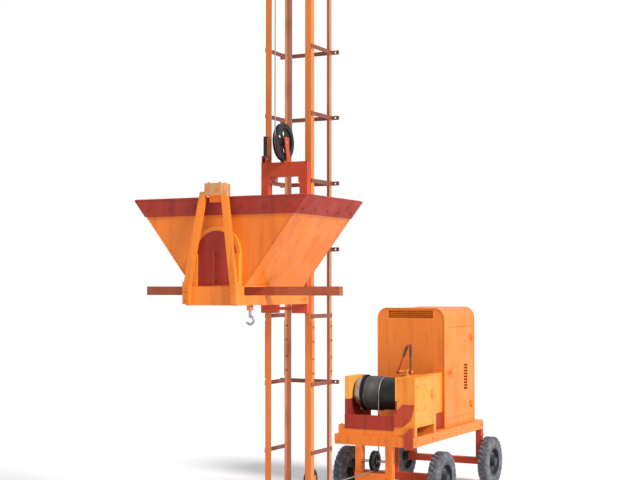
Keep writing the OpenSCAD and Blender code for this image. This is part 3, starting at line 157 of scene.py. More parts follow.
def noise(tree, scale, detail=4.0, stretch=(1, 1, 1), rough=0.55):
    place = tree.nodes.new("ShaderNodeTexCoord")
    mapping = tree.nodes.new("ShaderNodeMapping")
    mapping.inputs["Scale"].default_value = stretch
    texture = tree.nodes.new("ShaderNodeTexNoise")
    texture.inputs["Scale"].default_value = scale
    texture.inputs["Detail"].default_value = detail
    texture.inputs["Roughness"].default_value = rough
    tree.links.new(place.outputs["Object"], mapping.inputs["Vector"])
    tree.links.new(mapping.outputs["Vector"], texture.inputs["Vector"])
    return texture.outputs["Fac"]


def ramp(tree, value, stops):
    node = tree.nodes.new("ShaderNodeValToRGB")
    while len(node.color_ramp.elements) < len(stops):
        node.color_ramp.elements.new(0.5)
    for element, (place, colour) in zip(node.color_ramp.elements, stops):
        element.position = place
        element.color = (*colour, 1) if len(colour) == 3 else colour
    tree.links.new(value, node.inputs["Fac"])
    return node.outputs["Color"]


def mix(tree, share, first, second, mode="MIX"):
    node = tree.nodes.new("ShaderNodeMix")
    node.data_type = "RGBA"
    node.blend_type = mode
    for value, label in ((share, "Factor"), (first, "A"), (second, "B")):
        socket = node.inputs[label]
        if isinstance(value, bpy.types.NodeSocket):
            tree.links.new(value, socket)
        elif isinstance(value, tuple):
            socket.default_value = (*value, 1)
        else:
            socket.default_value = value
    return node.outputs["Result"]


def grey(low, high, a=0.35, b=0.65):
    return [(a, (low, low, low)), (b, (high, high, high))]


def bump(tree, shader, height, strength, distance):
    node = tree.nodes.new("ShaderNodeBump")
    node.inputs["Strength"].default_value = strength
    node.inputs["Distance"].default_value = distance
    tree.links.new(height, node.inputs["Height"])
    tree.links.new(node.outputs["Normal"], shader.inputs["Normal"])


print("node helpers ready")

# %% [markdown]
# ### Paints
# Site machines get a thick sprayed enamel. It varies a little from panel to panel, dulls where dust
# sits, runs darker in vertical streaks and chips down to primer. Noises of different scale give
# those: a broad one for tone, a tall one for streaks, a fine one for chips, a middle one for dust.

# %% Enamel and primer
TONE_SCALE, RUN_SCALE, CHIP_SCALE, DUST_SCALE, GRAIN_SCALE = 1.7, 2.6, 34, 6, 160
RUN_STRETCH = (4.5, 4.5, 0.45)
CHIP_EDGE = 0.03


def dust_and_grain(tree, shader, roughness):
    dull = ramp(tree, noise(tree, DUST_SCALE, 5), grey(roughness - 0.08, roughness + 0.16))
    tree.links.new(dull, shader.inputs["Roughness"])
    bump(tree, shader, noise(tree, GRAIN_SCALE, 3), 0.12, 0.002)


def enamel(name, light, deep, streak, chip, roughness, coat, chip_from=0.66):
    finish, tree, shader = new_finish(name, roughness, coat=coat)
    tone = ramp(tree, noise(tree, TONE_SCALE, 5), [(0.3, deep), (0.7, light)])
    runs = ramp(tree, noise(tree, RUN_SCALE, 6, RUN_STRETCH), grey(0, 0.55, 0.52, 0.74))
    soiled = mix(tree, runs, tone, streak)
    chips = ramp(tree, noise(tree, CHIP_SCALE, 6, rough=0.7), grey(0, 1, chip_from, chip_from + CHIP_EDGE))
    tree.links.new(mix(tree, chips, soiled, chip), shader.inputs["Base Color"])
    dust_and_grain(tree, shader, roughness)
    return finish


orange_enamel = enamel("orange_enamel", (0.88, 0.235, 0.022), (0.79, 0.178, 0.015),
                       (0.48, 0.082, 0.010), (0.20, 0.060, 0.030), 0.42, 0.08)
# A lighter yellow orange copy of the orange enamel is painted light, for faces the sun strikes: the gear
# cover, the gate ring, and the winch caps, lid and bolts.
lit_enamel = enamel("painted_light_orange_enamel", (0.92, 0.330, 0.040), (0.87, 0.265, 0.026),
                    (0.62, 0.130, 0.016), (0.24, 0.070, 0.030), 0.42, 0.08)
# This dark red colours the rim band with its bar and bolts, and is painted shade on the gate plate, the
# winch front plate and the sheet under the belt guard.
dark_red_and_shade = enamel("dark_red_and_shade", (0.42, 0.036, 0.018), (0.28, 0.024, 0.014),
                    (0.13, 0.017, 0.012), (0.30, 0.100, 0.040), 0.55, 0.0)
red_orange = enamel("red_orange_enamel", (0.58, 0.074, 0.022), (0.45, 0.050, 0.018),
                    (0.26, 0.030, 0.014), (0.22, 0.060, 0.030), 0.48, 0.05)
# This dark brown is the colour of the rungs, rear bars, mast bolts and clutch lever, and painted shade in
# the door vent's box.
dark_brown_and_shade = enamel("dark_brown_and_shade", (0.26, 0.080, 0.048), (0.17, 0.052, 0.036),
                    (0.09, 0.032, 0.026), (0.30, 0.110, 0.050), 0.60, 0.0)
# A duller, darker orange for the mast's rear legs.
dull_orange = enamel("dull_orange", (0.56, 0.245, 0.135), (0.42, 0.175, 0.095),
                     (0.24, 0.090, 0.055), (0.20, 0.070, 0.040), 0.55, 0.0)
# A darker copy of the orange enamel is painted shade on the front legs and their splice plates.
painted_shade_orange = enamel("painted_shade_orange", (0.74, 0.215, 0.042), (0.60, 0.160, 0.034),
                     (0.34, 0.075, 0.020), (0.20, 0.060, 0.030), 0.48, 0.04)
faded_red = enamel("faded_red", (0.44, 0.105, 0.042), (0.33, 0.075, 0.032),
                   (0.20, 0.040, 0.022), (0.24, 0.080, 0.040), 0.55, 0.0)
paints = (orange_enamel, lit_enamel, dark_red_and_shade, red_orange, dark_brown_and_shade, dull_orange, painted_shade_orange, faded_red)
print("paints:", [paint.name for paint in paints])

# %% [markdown]
# Two solids carry more than one colour. The winch frame is dark red between its feet and the drum,
# which is painted shade, and a lighter orange above, which is painted light; the A-frame has a weathered
# cap. A ramp over the height in metres parts the colours.

# %% Colours parted by height
PAINT_SPAN = 4.0


def parted_enamel(name, bands, roughness, span=PAINT_SPAN):
    finish, tree, shader = new_finish(name, roughness)
    place = tree.nodes.new("ShaderNodeTexCoord")
    axes = tree.nodes.new("ShaderNodeSeparateXYZ")
    tree.links.new(place.outputs["Object"], axes.inputs[0])
    share = tree.nodes.new("ShaderNodeMath")
    share.operation = "DIVIDE"
    share.inputs[1].default_value = span
    tree.links.new(axes.outputs["Z"], share.inputs[0])
    paint = ramp(tree, share.outputs[0], [(height / span, colour) for height, colour in bands])
    paint.node.color_ramp.interpolation = "CONSTANT"
    runs = ramp(tree, noise(tree, RUN_SCALE, 6, RUN_STRETCH), grey(1, 0.62, 0.50, 0.74))
    tree.links.new(mix(tree, 1.0, paint, runs, "MULTIPLY"), shader.inputs["Base Color"])
    dust_and_grain(tree, shader, roughness)
    return finish


# The winch frame's dark red band from 0.902 m to 1.18 m is painted shade under the drum, and its lighter
# orange above 1.18 m is painted light.
winch_painted_shade_and_light = parted_enamel("winch_painted_shade_and_light", [(0.0, (0.88, 0.27, 0.035)), (0.902, (0.27, 0.030, 0.018)),
                                            (1.18, (0.94, 0.38, 0.070))], 0.45)
frame_paint = parted_enamel("a_frame_paint", [(0.0, (0.86, 0.23, 0.024)), (3.22, (0.60, 0.29, 0.12))], 0.45)
print("parted paints:", winch_painted_shade_and_light.name, frame_paint.name)

# %% [markdown]
# ### Metals and rubber
# Cast parts are black and slightly grainy. Turned steel shows fine lines round its axis; here a
# noise that is squeezed along X stands for them, because all shafts of this hoist lie along X.
# Rope steel is grey and half glossy, and darker on the drum. Tyres are grey with patches of
# dust.

# %% Metal and rubber finishes
def metal(name, light, dark, roughness, metallic, scale, stretch=(1, 1, 1), relief=0.15, depth=0.001):
    finish, tree, shader = new_finish(name, roughness, metallic)
    grain = noise(tree, scale, 5, stretch)
    tree.links.new(ramp(tree, grain, [(0.3, dark), (0.7, light)]), shader.inputs["Base Color"])
    spots = ramp(tree, noise(tree, scale * 0.2, 4), grey(roughness - 0.1, roughness + 0.15))
    tree.links.new(spots, shader.inputs["Roughness"])
    bump(tree, shader, grain, relief, depth)
    return finish


black_cast = metal("black_cast", (0.030, 0.031, 0.034), (0.012, 0.012, 0.013), 0.45, 0.3, 90)
turned_steel = metal("turned_steel", (0.52, 0.52, 0.51), (0.30, 0.30, 0.30), 0.34, 1.0, 60, (9, 1, 1))
zinc_steel = metal("zinc_steel", (0.50, 0.51, 0.53), (0.34, 0.35, 0.37), 0.42, 0.85, 45)
rope_steel = metal("rope_steel", (0.40, 0.39, 0.38), (0.19, 0.185, 0.18), 0.42, 0.5, 240)
dark_drum_rope = metal("dark_drum_rope", (0.150, 0.145, 0.140), (0.055, 0.053, 0.051), 0.5, 0.4, 240)
hook_steel = metal("hook_steel", (0.46, 0.45, 0.48), (0.26, 0.25, 0.27), 0.42, 0.7, 55)
engine_alloy = metal("engine_alloy", (0.42, 0.43, 0.44), (0.25, 0.26, 0.27), 0.5, 0.7, 70, relief=0.3)
rim_grey = metal("rim_grey", (0.070, 0.072, 0.085), (0.030, 0.031, 0.037), 0.5, 0.1, 40)
belt_rubber = metal("belt_rubber", (0.030, 0.030, 0.030), (0.014, 0.014, 0.014), 0.75, 0.0, 120)
grip_rubber = metal("grip_rubber", (0.150, 0.055, 0.028), (0.080, 0.030, 0.018), 0.65, 0.0, 150, relief=0.35)
painted_shade_black = metal("painted_shade_black", (0.022, 0.020, 0.018), (0.010, 0.009, 0.008), 0.8, 0.0, 30)


def dusty_rubber(name):
    finish, tree, shader = new_finish(name, 0.8)
    rubber = ramp(tree, noise(tree, 7, 5), [(0.3, (0.060, 0.066, 0.080)), (0.7, (0.105, 0.115, 0.135))])
    dust = ramp(tree, noise(tree, 18, 6, rough=0.65), grey(0, 0.75, 0.42, 0.70))
    tree.links.new(mix(tree, dust, rubber, (0.235, 0.250, 0.275)), shader.inputs["Base Color"])
    bump(tree, shader, noise(tree, 130, 4), 0.25, 0.002)
    return finish


tyre_rubber = dusty_rubber("tyre_rubber")
metals = (black_cast, turned_steel, zinc_steel, rope_steel, dark_drum_rope, hook_steel, engine_alloy,
          rim_grey, painted_shade_black)
rubbers = (belt_rubber, grip_rubber, tyre_rubber)
print("metals and rubbers:", [finish.name for finish in metals + rubbers])

# %% [markdown]
# ## Paint the CAD nodes
# The solids whose shape is right stay and only change their material. The hopper and canopy are
# orange, and the front legs a darker orange that is painted shade; the mast's rear legs are a duller
# orange and its rungs and rear bars dark brown; the carriage, the rim band and the landing beam are red,
# each in its own tone. The dark red of the gate plate is painted shade in the hopper's opening, and
# the lighter orange of the gear cover and the gate ring is painted light.

# %% Finishes for the nodes
node_finish = {
    orange_enamel: ["base_plate", "base_rails", "link_posts", "head_frame", "cradle", "hopper",
                    "chassis_frame", "canopy", "canopy_door"],
    painted_shade_orange: ["front_legs", "splice_plates"],
    dull_orange: ["rear_legs"],
    dark_brown_and_shade: ["side_rungs", "rear_bars", "tower_bolts", "clutch_lever"],
    winch_painted_shade_and_light: ["winch_frame"],
    frame_paint: ["a_frame"],
    lit_enamel: ["gear_cover", "gate_ring"],
    dark_red_and_shade: ["rim_band", "gate_plate"],
    red_orange: ["carriage_frame", "front_axle", "rear_axle", "brake_lever"],
    faded_red: ["landing_beam"],
    black_cast: ["head_sheave", "foot_sheave", "lead_sheave", "carriage_sheave", "safety_catch", "drum",
                 "drum_gear", "clutch_pulley", "flywheel"],
    turned_steel: ["sheave_pins", "carriage_pins", "upper_rollers", "lower_rollers", "countershaft",
                   "brake_band"],
    hook_steel: ["hook"],
    rim_grey: ["rim_front_left", "rim_front_right", "rim_rear_left", "rim_rear_right"],
    engine_alloy: ["engine"],
    belt_rubber: ["belts"],
}
for finish, names in node_finish.items():
    for name in names:
        nodes[name].data.materials.clear()
        nodes[name].data.materials.append(finish)
print("painted nodes:", sum(len(names) for names in node_finish.values()))

# %% [markdown]
# ## Making a piece
# A new piece is modelled in a bmesh, straight at its real place, and then handed to one helper. It
# writes the mesh, shades it smooth with sharp edges kept, and lets it ride on its CAD body.

# %% Piece helpers
def finish_piece(bm, name, finish, body, sharp=35):
    data = bpy.data.meshes.new(name)
    bm.to_mesh(data)
    bm.free()
    data.materials.append(finish)
    data.shade_smooth()
    data.set_sharp_from_angle(angle=math.radians(sharp))
    piece = bpy.data.objects.new(name, data)
    scene.collection.objects.link(piece)
    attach(piece, body)
    return piece


def aim(at, axis):
    return Matrix.Translation(Vector(at)) @ Vector(axis).to_track_quat("Z", "Y").to_matrix().to_4x4()


def add_rod(bm, start, end, radius, sides=16, end_radius=None):
    start, end = Vector(start), Vector(end)
    place = aim((start + end) / 2, end - start)
    made = bmesh.ops.create_cone(bm, cap_ends=True, segments=sides, radius1=radius,
                                 radius2=radius if end_radius is None else end_radius,
                                 depth=(end - start).length, matrix=place)
    return made["verts"]


def add_block(bm, low, high, bevel=0.0, segments=1):
    low, high = Vector(low), Vector(high)
    place = Matrix.Translation((low + high) / 2) @ Matrix.Diagonal((*(high - low), 1))
    verts = bmesh.ops.create_cube(bm, size=1, matrix=place)["verts"]
    if bevel:
        edges = list({e for v in verts for e in v.link_edges})
        verts = bmesh.ops.bevel(bm, geom=edges, offset=bevel, offset_type="OFFSET", affect="EDGES",
                                segments=segments, profile=0.5, material=-1)["verts"]
    return verts


def add_bolt(bm, at, axis, radius=0.010, height=0.008):
    at, axis = Vector(at), Vector(axis).normalized()
    add_rod(bm, at, at + axis * height * 0.3, radius * 1.5, 14)
    add_rod(bm, at + axis * height * 0.3, at + axis * height * 1.2, radius * 1.1, 6, radius)


def add_weld(bm, start, end, radius=0.004):
    start, end = Vector(start), Vector(end)
    beads = max(2, round((end - start).length / (radius * 2.5)))
    for i in range(beads):
        middle = start.lerp(end, (i + 0.5) / beads)
        bmesh.ops.create_uvsphere(bm, u_segments=6, v_segments=4, radius=radius * 1.35,
                                  matrix=Matrix.Translation(middle))


print("piece helpers ready")

# %% [markdown]
# ## Hoist rope
# The hoist hangs on a steel wire rope of six strands, 12 mm thick. From the drum it runs under two
# foot sheaves, up inside the mast, over the head sheave, down round the carriage sheave, and up
# to a fixed end. A curve with a six-lobed section, twisted along its length, shows the strands.
# The two falls at the carriage are straight pieces from their tops down to the carriage sheave.

# %% Rope sections
ROPE_R = 0.006
LAY = 0.085
STEP = 0.006
STRANDS, STRAND_POINTS, VALLEY = 6, 3, 0.80


def rope_profile():
    count = STRANDS * STRAND_POINTS
    curve = bpy.data.curves.new("rope_section", "CURVE")
    spline = curve.splines.new("POLY")
    spline.points.add(count - 1)
    for i, point in enumerate(spline.points):
        radius = ROPE_R * (VALLEY if i % STRAND_POINTS == 0 else 1.0)
        angle = i * math.tau / count
        point.co = (radius * math.cos(angle), radius * math.sin(angle), 0, 1)
    spline.use_cyclic_u = True
    section = bpy.data.objects.new("rope_section", curve)
    scene.collection.objects.link(section)
    return section


def even_steps(route):
    out, left = [route[0]], STEP
    for a, b in zip(route, route[1:]):
        length = (b - a).length
        while left <= length:
            out.append(a.lerp(b, left / length))
            left += STEP
        left -= length
    return out if (out[-1] - route[-1]).length < STEP / 4 else out + [route[-1]]


def rope_piece(name, route, section, finish=rope_steel):
    points = even_steps([Vector(p) for p in route])
    curve = bpy.data.curves.new(name, "CURVE")
    curve.dimensions = "3D"
    curve.bevel_mode = "OBJECT"
    curve.bevel_object = section
    curve.use_fill_caps = True
    spline = curve.splines.new("POLY")
    spline.points.add(len(points) - 1)
    for i, (point, place) in enumerate(zip(spline.points, points)):
        point.co = (*place, 1)
        point.tilt = i * STEP * math.tau / LAY
    draft = bpy.data.objects.new(name + "_draft", curve)
    scene.collection.objects.link(draft)
    bpy.context.view_layer.update()
    data = bpy.data.meshes.new_from_object(draft.evaluated_get(bpy.context.evaluated_depsgraph_get()))
    bpy.data.objects.remove(draft)
    data.name = name
    data.materials.clear()
    data.materials.append(finish)
    data.shade_smooth()
    piece = bpy.data.objects.new(name, data)
    scene.collection.objects.link(piece)
    print(name, "metres of rope:", round(len(points) * STEP, 2), "faces:", len(data.polygons))
    return piece


def rope_arc(y, z, radius, first, last, count=40):
    angles = [math.radians(first + (last - first) * i / count) for i in range(count + 1)]
    return [(0, y + radius * math.cos(angle), z + radius * math.sin(angle)) for angle in angles]


# %% Rope pieces
HEAD_Z, HEAD_R = 6.72, 0.15
FOOT_Y, LEAD_Y, FOOT_Z, FOOT_R = 0.25, 1.78, 0.52, 0.10
DRUM_Y, DRUM_Z, WRAP_R = 2.0664, 1.24, 0.1864
HUNG_Y, HUNG_Z, HUNG_R = -0.315, 3.82, 0.165
DEAD_Y, ANCHOR_Z = -0.48, 6.40
section = rope_profile()
lead_route = (rope_arc(0, HEAD_Z, HEAD_R, 180, 0) + rope_arc(FOOT_Y, FOOT_Z, FOOT_R, 180, 270)
              + rope_arc(LEAD_Y, FOOT_Z, FOOT_R, 270, 360) + rope_arc(DRUM_Y, DRUM_Z, WRAP_R, 180, 0))
lead = rope_piece("hoist_rope_lead", lead_route, section)
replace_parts(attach(lead, "root"), "rope_lead")
wrap = rope_piece("hoist_rope_at_carriage", rope_arc(HUNG_Y, HUNG_Z, HUNG_R, 180, 360), section)
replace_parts(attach(wrap, "carriage"), "rope_carriage_wrap")
for name, y, top in (("live", -HEAD_R, HEAD_Z), ("dead", DEAD_Y, ANCHOR_Z)):
    fall = rope_piece("hoist_rope_" + name + "_fall", [(0, y, top), (0, y, HUNG_Z)], section)
    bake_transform(fall)
    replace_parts(fall, "rope_fall_" + name)

# %% [markdown]
# On the drum the rope lies in thirteen turns side by side. They turn with it, so the leaving rope lies
# over the drum next to them and never meets them.

# %% Rope on the drum
WRAP_PITCH, TURNS, RINGS = 0.014, 13, 90


def drum_rope_point(turn):
    angle = math.pi + math.tau * (turn - TURNS)
    x = -WRAP_PITCH * (TURNS - turn + 1)
    return (x, DRUM_Y + WRAP_R * math.cos(angle), DRUM_Z + WRAP_R * math.sin(angle))


turns = [drum_rope_point(i / RINGS) for i in range(TURNS * RINGS + 1)]
on_drum = rope_piece("hoist_rope_on_drum", turns, section, dark_drum_rope)
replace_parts(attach(on_drum, "drum"), "rope_drum_wrap")
bpy.data.objects.remove(section)

# %% [markdown]
# ## Wheels
# The chassis stands on four rubber tyres, 600 mm across, with a blocky site tread. The carcass is a
# half section spun round the axle. Slanted tread blocks are set on it in two rows, one row turned by
# half a pitch, so that the outline is knobbly as on a real tyre and not only in a bump.

# %% Tyres
AXLE_Z, TREADS = 0.30, 30
TREAD_R, TREAD_ROW_X, TREAD_SLANT = 0.2895, 0.027, 0.5
SIDEWALL = [(0.0540, 0.1800), (0.0600, 0.1880), (0.0640, 0.2060), (0.0675, 0.2150), (0.0675, 0.2190),
            (0.0655, 0.2220), (0.0675, 0.2400), (0.0665, 0.2620), (0.0600, 0.2800), (0.0450, TREAD_R)]


def add_tyre(bm, x, y):
    middle = Vector((x, y, AXLE_Z))
    outline = SIDEWALL + [(-side, r) for side, r in reversed(SIDEWALL)]
    ring = [bm.verts.new(middle + Vector((side, 0, r))) for side, r in outline]
    edges = [bm.edges.new((a, b)) for a, b in zip(ring, ring[1:] + ring[:1])]
    bmesh.ops.spin(bm, geom=ring + edges, cent=middle, axis=(1, 0, 0), angle=math.tau, steps=72,
                   use_merge=True)
    bmesh.ops.recalc_face_normals(bm, faces=bm.faces)
    for i in range(2 * TREADS):
        row = 1 if i % 2 else -1
        block = add_block(bm, (-0.029, -0.018, -0.008), (0.029, 0.018, 0.0095), 0.004)
        turn = Matrix.Rotation(math.pi * i / TREADS, 4, "X")
        slant = Matrix.Rotation(row * TREAD_SLANT, 4, "Z")
        place = Matrix.Translation((row * TREAD_ROW_X, 0, TREAD_R)) @ slant
        bmesh.ops.transform(bm, matrix=Matrix.Translation(middle) @ turn @ place, verts=block)


wheel_places = {"front_left": (-0.575, 2.31), "front_right": (0.575, 2.31),
                "rear_left": (-0.575, 3.90), "rear_right": (0.575, 3.90)}
for name, (x, y) in wheel_places.items():
    bm = bmesh.new()
    add_tyre(bm, x, y)
    tyre = finish_piece(bm, "treaded_tyre_" + name, tyre_rubber, "wheel_" + name, 40)
    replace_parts(tyre, "tyre_" + name)
    print(tyre.name, "faces:", len(tyre.data.polygons))

# %% [markdown]
# Each steel rim carries five wheel nuts, a pressed dust cap on the outer end of its hub and a
# short valve. They turn with the wheel.

# %% Wheel nuts, caps and valves
NUTS, NUT_RING, NUT_X = 5, 0.095, 0.008
CAP_DOME = [(0.0680, 0.050), (0.0750, 0.049), (0.0800, 0.040), (0.0825, 0.022), (0.0832, 0.0)]
for name, (x, y) in wheel_places.items():
    out = 1 if x > 0 else -1
    bm = bmesh.new()
    for k in range(NUTS):
        angle = math.tau * k / NUTS
        at = (x + out * NUT_X, y + NUT_RING * math.cos(angle), AXLE_Z + NUT_RING * math.sin(angle))
        add_bolt(bm, at, (out, 0, 0), 0.012, 0.014)
    add_rod(bm, (x + out * 0.020, y, AXLE_Z + 0.148), (x + out * 0.052, y, AXLE_Z + 0.158), 0.005, 10)
    finish_piece(bm, "wheel_nuts_" + name, zinc_steel, "wheel_" + name)
    bm = bmesh.new()
    line = [bm.verts.new((x + out * side, y, AXLE_Z + r)) for side, r in CAP_DOME]
    edges = [bm.edges.new(pair) for pair in zip(line, line[1:])]
    bmesh.ops.spin(bm, geom=line + edges, cent=(x, y, AXLE_Z), axis=(1, 0, 0), angle=math.tau, steps=32,
                   use_merge=True)
    bmesh.ops.remove_doubles(bm, verts=bm.verts, dist=1e-5)
    bmesh.ops.holes_fill(bm, edges=bm.edges, sides=40)
    bmesh.ops.recalc_face_normals(bm, faces=bm.faces)
    finish_piece(bm, "dust_cap_" + name, rim_grey, "wheel_" + name)
print("wheels dressed:", len(wheel_places))

# %% [markdown]
# ## Hopper
# The hopper is folded from plate and welded along its corners, and its rim is stiffened by a red
# band with a rolled bar on top. Beads of weld are rows of small half-sunk balls. Bolts are seated
# by casting a ray at the CAD solid, so that each washer lies on the face that carries it.

# %% Seat a fastener on a CAD face
def seat(node, start, toward):
    hit, place, normal, _ = nodes[node].ray_cast(Vector(start), Vector(toward).normalized())
    if not hit:
        raise ValueError(f"nothing of {node} lies that way from {start}")
    return place, normal


def bolts_on(bm, node, starts, toward, radius=0.010, height=0.009):
    for start in starts:
        place, normal = seat(node, start, toward)
        add_bolt(bm, place, normal, radius, height)


def spread(low, high, count):
    return [low + (high - low) * i / (count - 1) for i in range(count)]


print("fasteners are seated on", len(nodes), "solids")

# %% Hopper welds, rim bar and band bolts
FLOOR_HW, TOP_HW, HOPPER_Z0, HOPPER_Z1, FRONT_Y, BACK_Y = 0.265, 0.870, 2.435, 3.210, -1.500, -0.405
BAND_HW, BAND_Z, RIM_R, RIM_SHIFT = 0.752, 3.059, 0.011, -0.006
bm = bmesh.new()
for side in (-1, 1):
    for y in (FRONT_Y, BACK_Y):
        add_weld(bm, (side * FLOOR_HW, y, HOPPER_Z0), (side * BAND_HW, y, BAND_Z), 0.005)
    add_weld(bm, (side * FLOOR_HW, FRONT_Y, HOPPER_Z0), (side * FLOOR_HW, BACK_Y, HOPPER_Z0), 0.005)
hopper_welds = finish_piece(bm, "hopper_welds", orange_enamel, "carriage", 60)

bm = bmesh.new()
rim_front, rim_back = FRONT_Y + RIM_SHIFT, BACK_Y + RIM_SHIFT
corners = [(-TOP_HW, rim_front, HOPPER_Z1), (TOP_HW, rim_front, HOPPER_Z1), (TOP_HW, rim_back, HOPPER_Z1),
           (-TOP_HW, rim_back, HOPPER_Z1)]
for a, b in zip(corners, corners[1:] + corners[:1]):
    add_rod(bm, a, b, RIM_R, 14)
    bmesh.ops.create_uvsphere(bm, u_segments=14, v_segments=8, radius=RIM_R, matrix=Matrix.Translation(a))
rim_bar = finish_piece(bm, "hopper_rim_bar", dark_red_and_shade, "carriage", 50)

bm = bmesh.new()
bolts_on(bm, "rim_band", [(x, -2.0, 3.135) for x in spread(-0.72, 0.72, 7) if abs(x) > 0.2], (0, 1, 0))
for side in (-1, 1):
    bolts_on(bm, "rim_band", [(side * 1.4, y, 3.10) for y in spread(-1.42, -0.48, 5)], (-side, 0, 0))
band_bolts = finish_piece(bm, "rim_band_bolts", dark_red_and_shade, "carriage")
print("hopper faces added:", sum(len(o.data.polygons) for o in (hopper_welds, rim_bar, band_bolts)))

# %% [markdown]
# ## Cradle, landing beam and A-frame
# The cradle bars carry the hopper's floor, and the landing beam is bolted across them.
# The beam's open ends are closed by pressed caps. The A-frame is bolted to the front box.

# %% Cradle and A-frame fasteners
CAP_BOLT_X, BEAM_HALF, BEAM_LID = 0.055, 1.0, 0.003
bm = bmesh.new()
for side in (-1, 1):
    for x in (side * 0.195, side * 0.255):
        bolts_on(bm, "landing_beam", [(x, y, 2.0) for y in (-1.125, -1.075)], (0, 0, 1), 0.008)
    bolts_on(bm, "a_frame", [(side * 0.222, -2.0, z) for z in (2.32, 2.40)], (0, 1, 0), 0.009)
    bolts_on(bm, "cradle", [(side * 0.6, y, 2.3125) for y in (-0.36, -0.42)], (-side, 0, 0), 0.011)
cap_x = (-CAP_BOLT_X, CAP_BOLT_X)
bolts_on(bm, "a_frame", [(x, -2.0, 3.28) for x in cap_x], (0, 1, 0), 0.010)
bolts_on(bm, "a_frame", [(x, y, 4.0) for x in cap_x for y in (-1.57, -1.47)], (0, 0, -1), 0.010)
frame_bolts = finish_piece(bm, "cradle_bolts", orange_enamel, "carriage")

bm = bmesh.new()
for side in (-1, 1):
    end = side * BEAM_HALF
    add_block(bm, (end - BEAM_LID, -1.136, 2.359), (end + BEAM_LID, -1.064, 2.431), 0.002)
beam_caps = finish_piece(bm, "landing_beam_caps", faded_red, "carriage")
print("cradle pieces:", len(frame_bolts.data.polygons), len(beam_caps.data.polygons))

# %% [markdown]
# ## Engine canopy
# The canopy is a rolled sheet with flat ends. A half-round edge bar stiffens both ends, a slatted
# vent lies under the roof's front edge, and the side door has a slotted vent and a turning latch.
# Bars follow the outline: straight rods, and at the corners a circle spun through a quarter turn.

# %% Edge bars
WALL_X, CANOPY_Y0, CANOPY_Y1, DECK_Z, ROOF_Z, CORNER_R = 0.42, 2.79, 3.77, 0.80, 2.18, 0.12
EDGE_R = 0.007


def add_bend(bm, centre, axis, start, heading, radius, angle, steps=10, sides=10):
    ring = bmesh.ops.create_circle(bm, cap_ends=False, segments=sides, radius=radius,
                                   matrix=aim(start, heading))["verts"]
    rim = list({e for v in ring for e in v.link_edges})
    bmesh.ops.spin(bm, geom=ring + rim, cent=centre, axis=axis, angle=angle, steps=steps)


bm = bmesh.new()
for y in (CANOPY_Y0, CANOPY_Y1):
    low, inner = ROOF_Z - CORNER_R, WALL_X - CORNER_R
    add_rod(bm, (-inner, y, ROOF_Z), (inner, y, ROOF_Z), EDGE_R, 10)
    for side in (-1, 1):
        corner = (side * WALL_X, y, low)
        add_rod(bm, (side * WALL_X, y, DECK_Z), corner, EDGE_R, 10)
        add_bend(bm, (side * inner, y, low), (0, -side, 0), corner, (0, 0, 1), EDGE_R, math.pi / 2)
bmesh.ops.recalc_face_normals(bm, faces=bm.faces)
edge_bars = finish_piece(bm, "canopy_edge_bars", orange_enamel, "root", 50)
print("edge bars:", len(edge_bars.data.polygons), "faces")

# %% [markdown]
# Vents are open holes in the CAD sheet. Tilted slats stand in each, in front of a shallow box
# that keeps rain and hands out. The boxes' dark colours are painted shade inside the vents.

# %% Vents, rivets and door latch
def add_shell(bm, low, high, wall=0.002, open_side=(0, -1, 0)):
    for axis in range(3):
        for sign in (-1, 1):
            face = [0, 0, 0]
            face[axis] = sign
            if tuple(face) == open_side:
                continue
            a, b = list(low), list(high)
            if sign < 0:
                b[axis] = a[axis] + wall
            else:
                a[axis] = b[axis] - wall
            add_block(bm, a, b)


bm = bmesh.new()
# The front vent's box is near black, painted shade inside the vent.
add_shell(bm, (-0.29, 2.794, 2.060), (0.29, 2.834, 2.168))
front_box = finish_piece(bm, "front_vent_box", painted_shade_black, "root")
bm = bmesh.new()
# The door vent's box is dark brown, painted shade inside the vent.
add_shell(bm, (0.392, 3.405, 1.191), (0.416, 3.555, 1.521), open_side=(1, 0, 0))
door_box = finish_piece(bm, "door_vent_box", dark_brown_and_shade, "canopy_door")

SLAT_T, SLAT_TILT = 0.0015, 0.7
bm = bmesh.new()
tilt = Matrix.Rotation(-SLAT_TILT, 4, "X")
for z in spread(2.082, 2.150, 4):
    slat = add_block(bm, (-0.2795, -0.013, -SLAT_T), (0.2795, 0.013, SLAT_T), 0.0007)
    bmesh.ops.transform(bm, matrix=Matrix.Translation((0, 2.801, z)) @ tilt, verts=slat)
front_slats = finish_piece(bm, "front_vent_slats", orange_enamel, "root")
bm = bmesh.new()
tilt = Matrix.Rotation(SLAT_TILT, 4, "Y")
for z in spread(1.235, 1.477, 8):
    slat = add_block(bm, (-0.010, 3.4205, -SLAT_T), (0.010, 3.5399, SLAT_T), 0.0007)
    bmesh.ops.transform(bm, matrix=Matrix.Translation((0.4145, 0, z)) @ tilt, verts=slat)
door_slats = finish_piece(bm, "door_vent_slats", orange_enamel, "canopy_door")


def rivets_on(bm, node, starts, toward, radius=0.007):
    for start in starts:
        place, normal = seat(node, start, toward)
        bmesh.ops.create_uvsphere(bm, u_segments=8, v_segments=6, radius=radius,
                                  matrix=aim(place, normal) @ Matrix.Diagonal((1, 1, 0.5, 1)))


bm = bmesh.new()
for y, toward in ((2.0, (0, 1, 0)), (4.5, (0, -1, 0))):
    for x in (-0.395, 0.395):
        rivets_on(bm, "canopy", [(x, y, z) for z in spread(0.84, 2.02, 12)], toward)
    rivets_on(bm, "canopy", [(x, y, 0.835) for x in spread(-0.34, 0.24, 7)], toward)
for side in (-1, 1):
    for z in (0.835, 2.02):
        rivets_on(bm, "canopy", [(side * 0.8, y, z) for y in spread(2.84, 3.72, 11)], (-side, 0, 0))
rivets = finish_piece(bm, "canopy_rivets", orange_enamel, "root", 60)

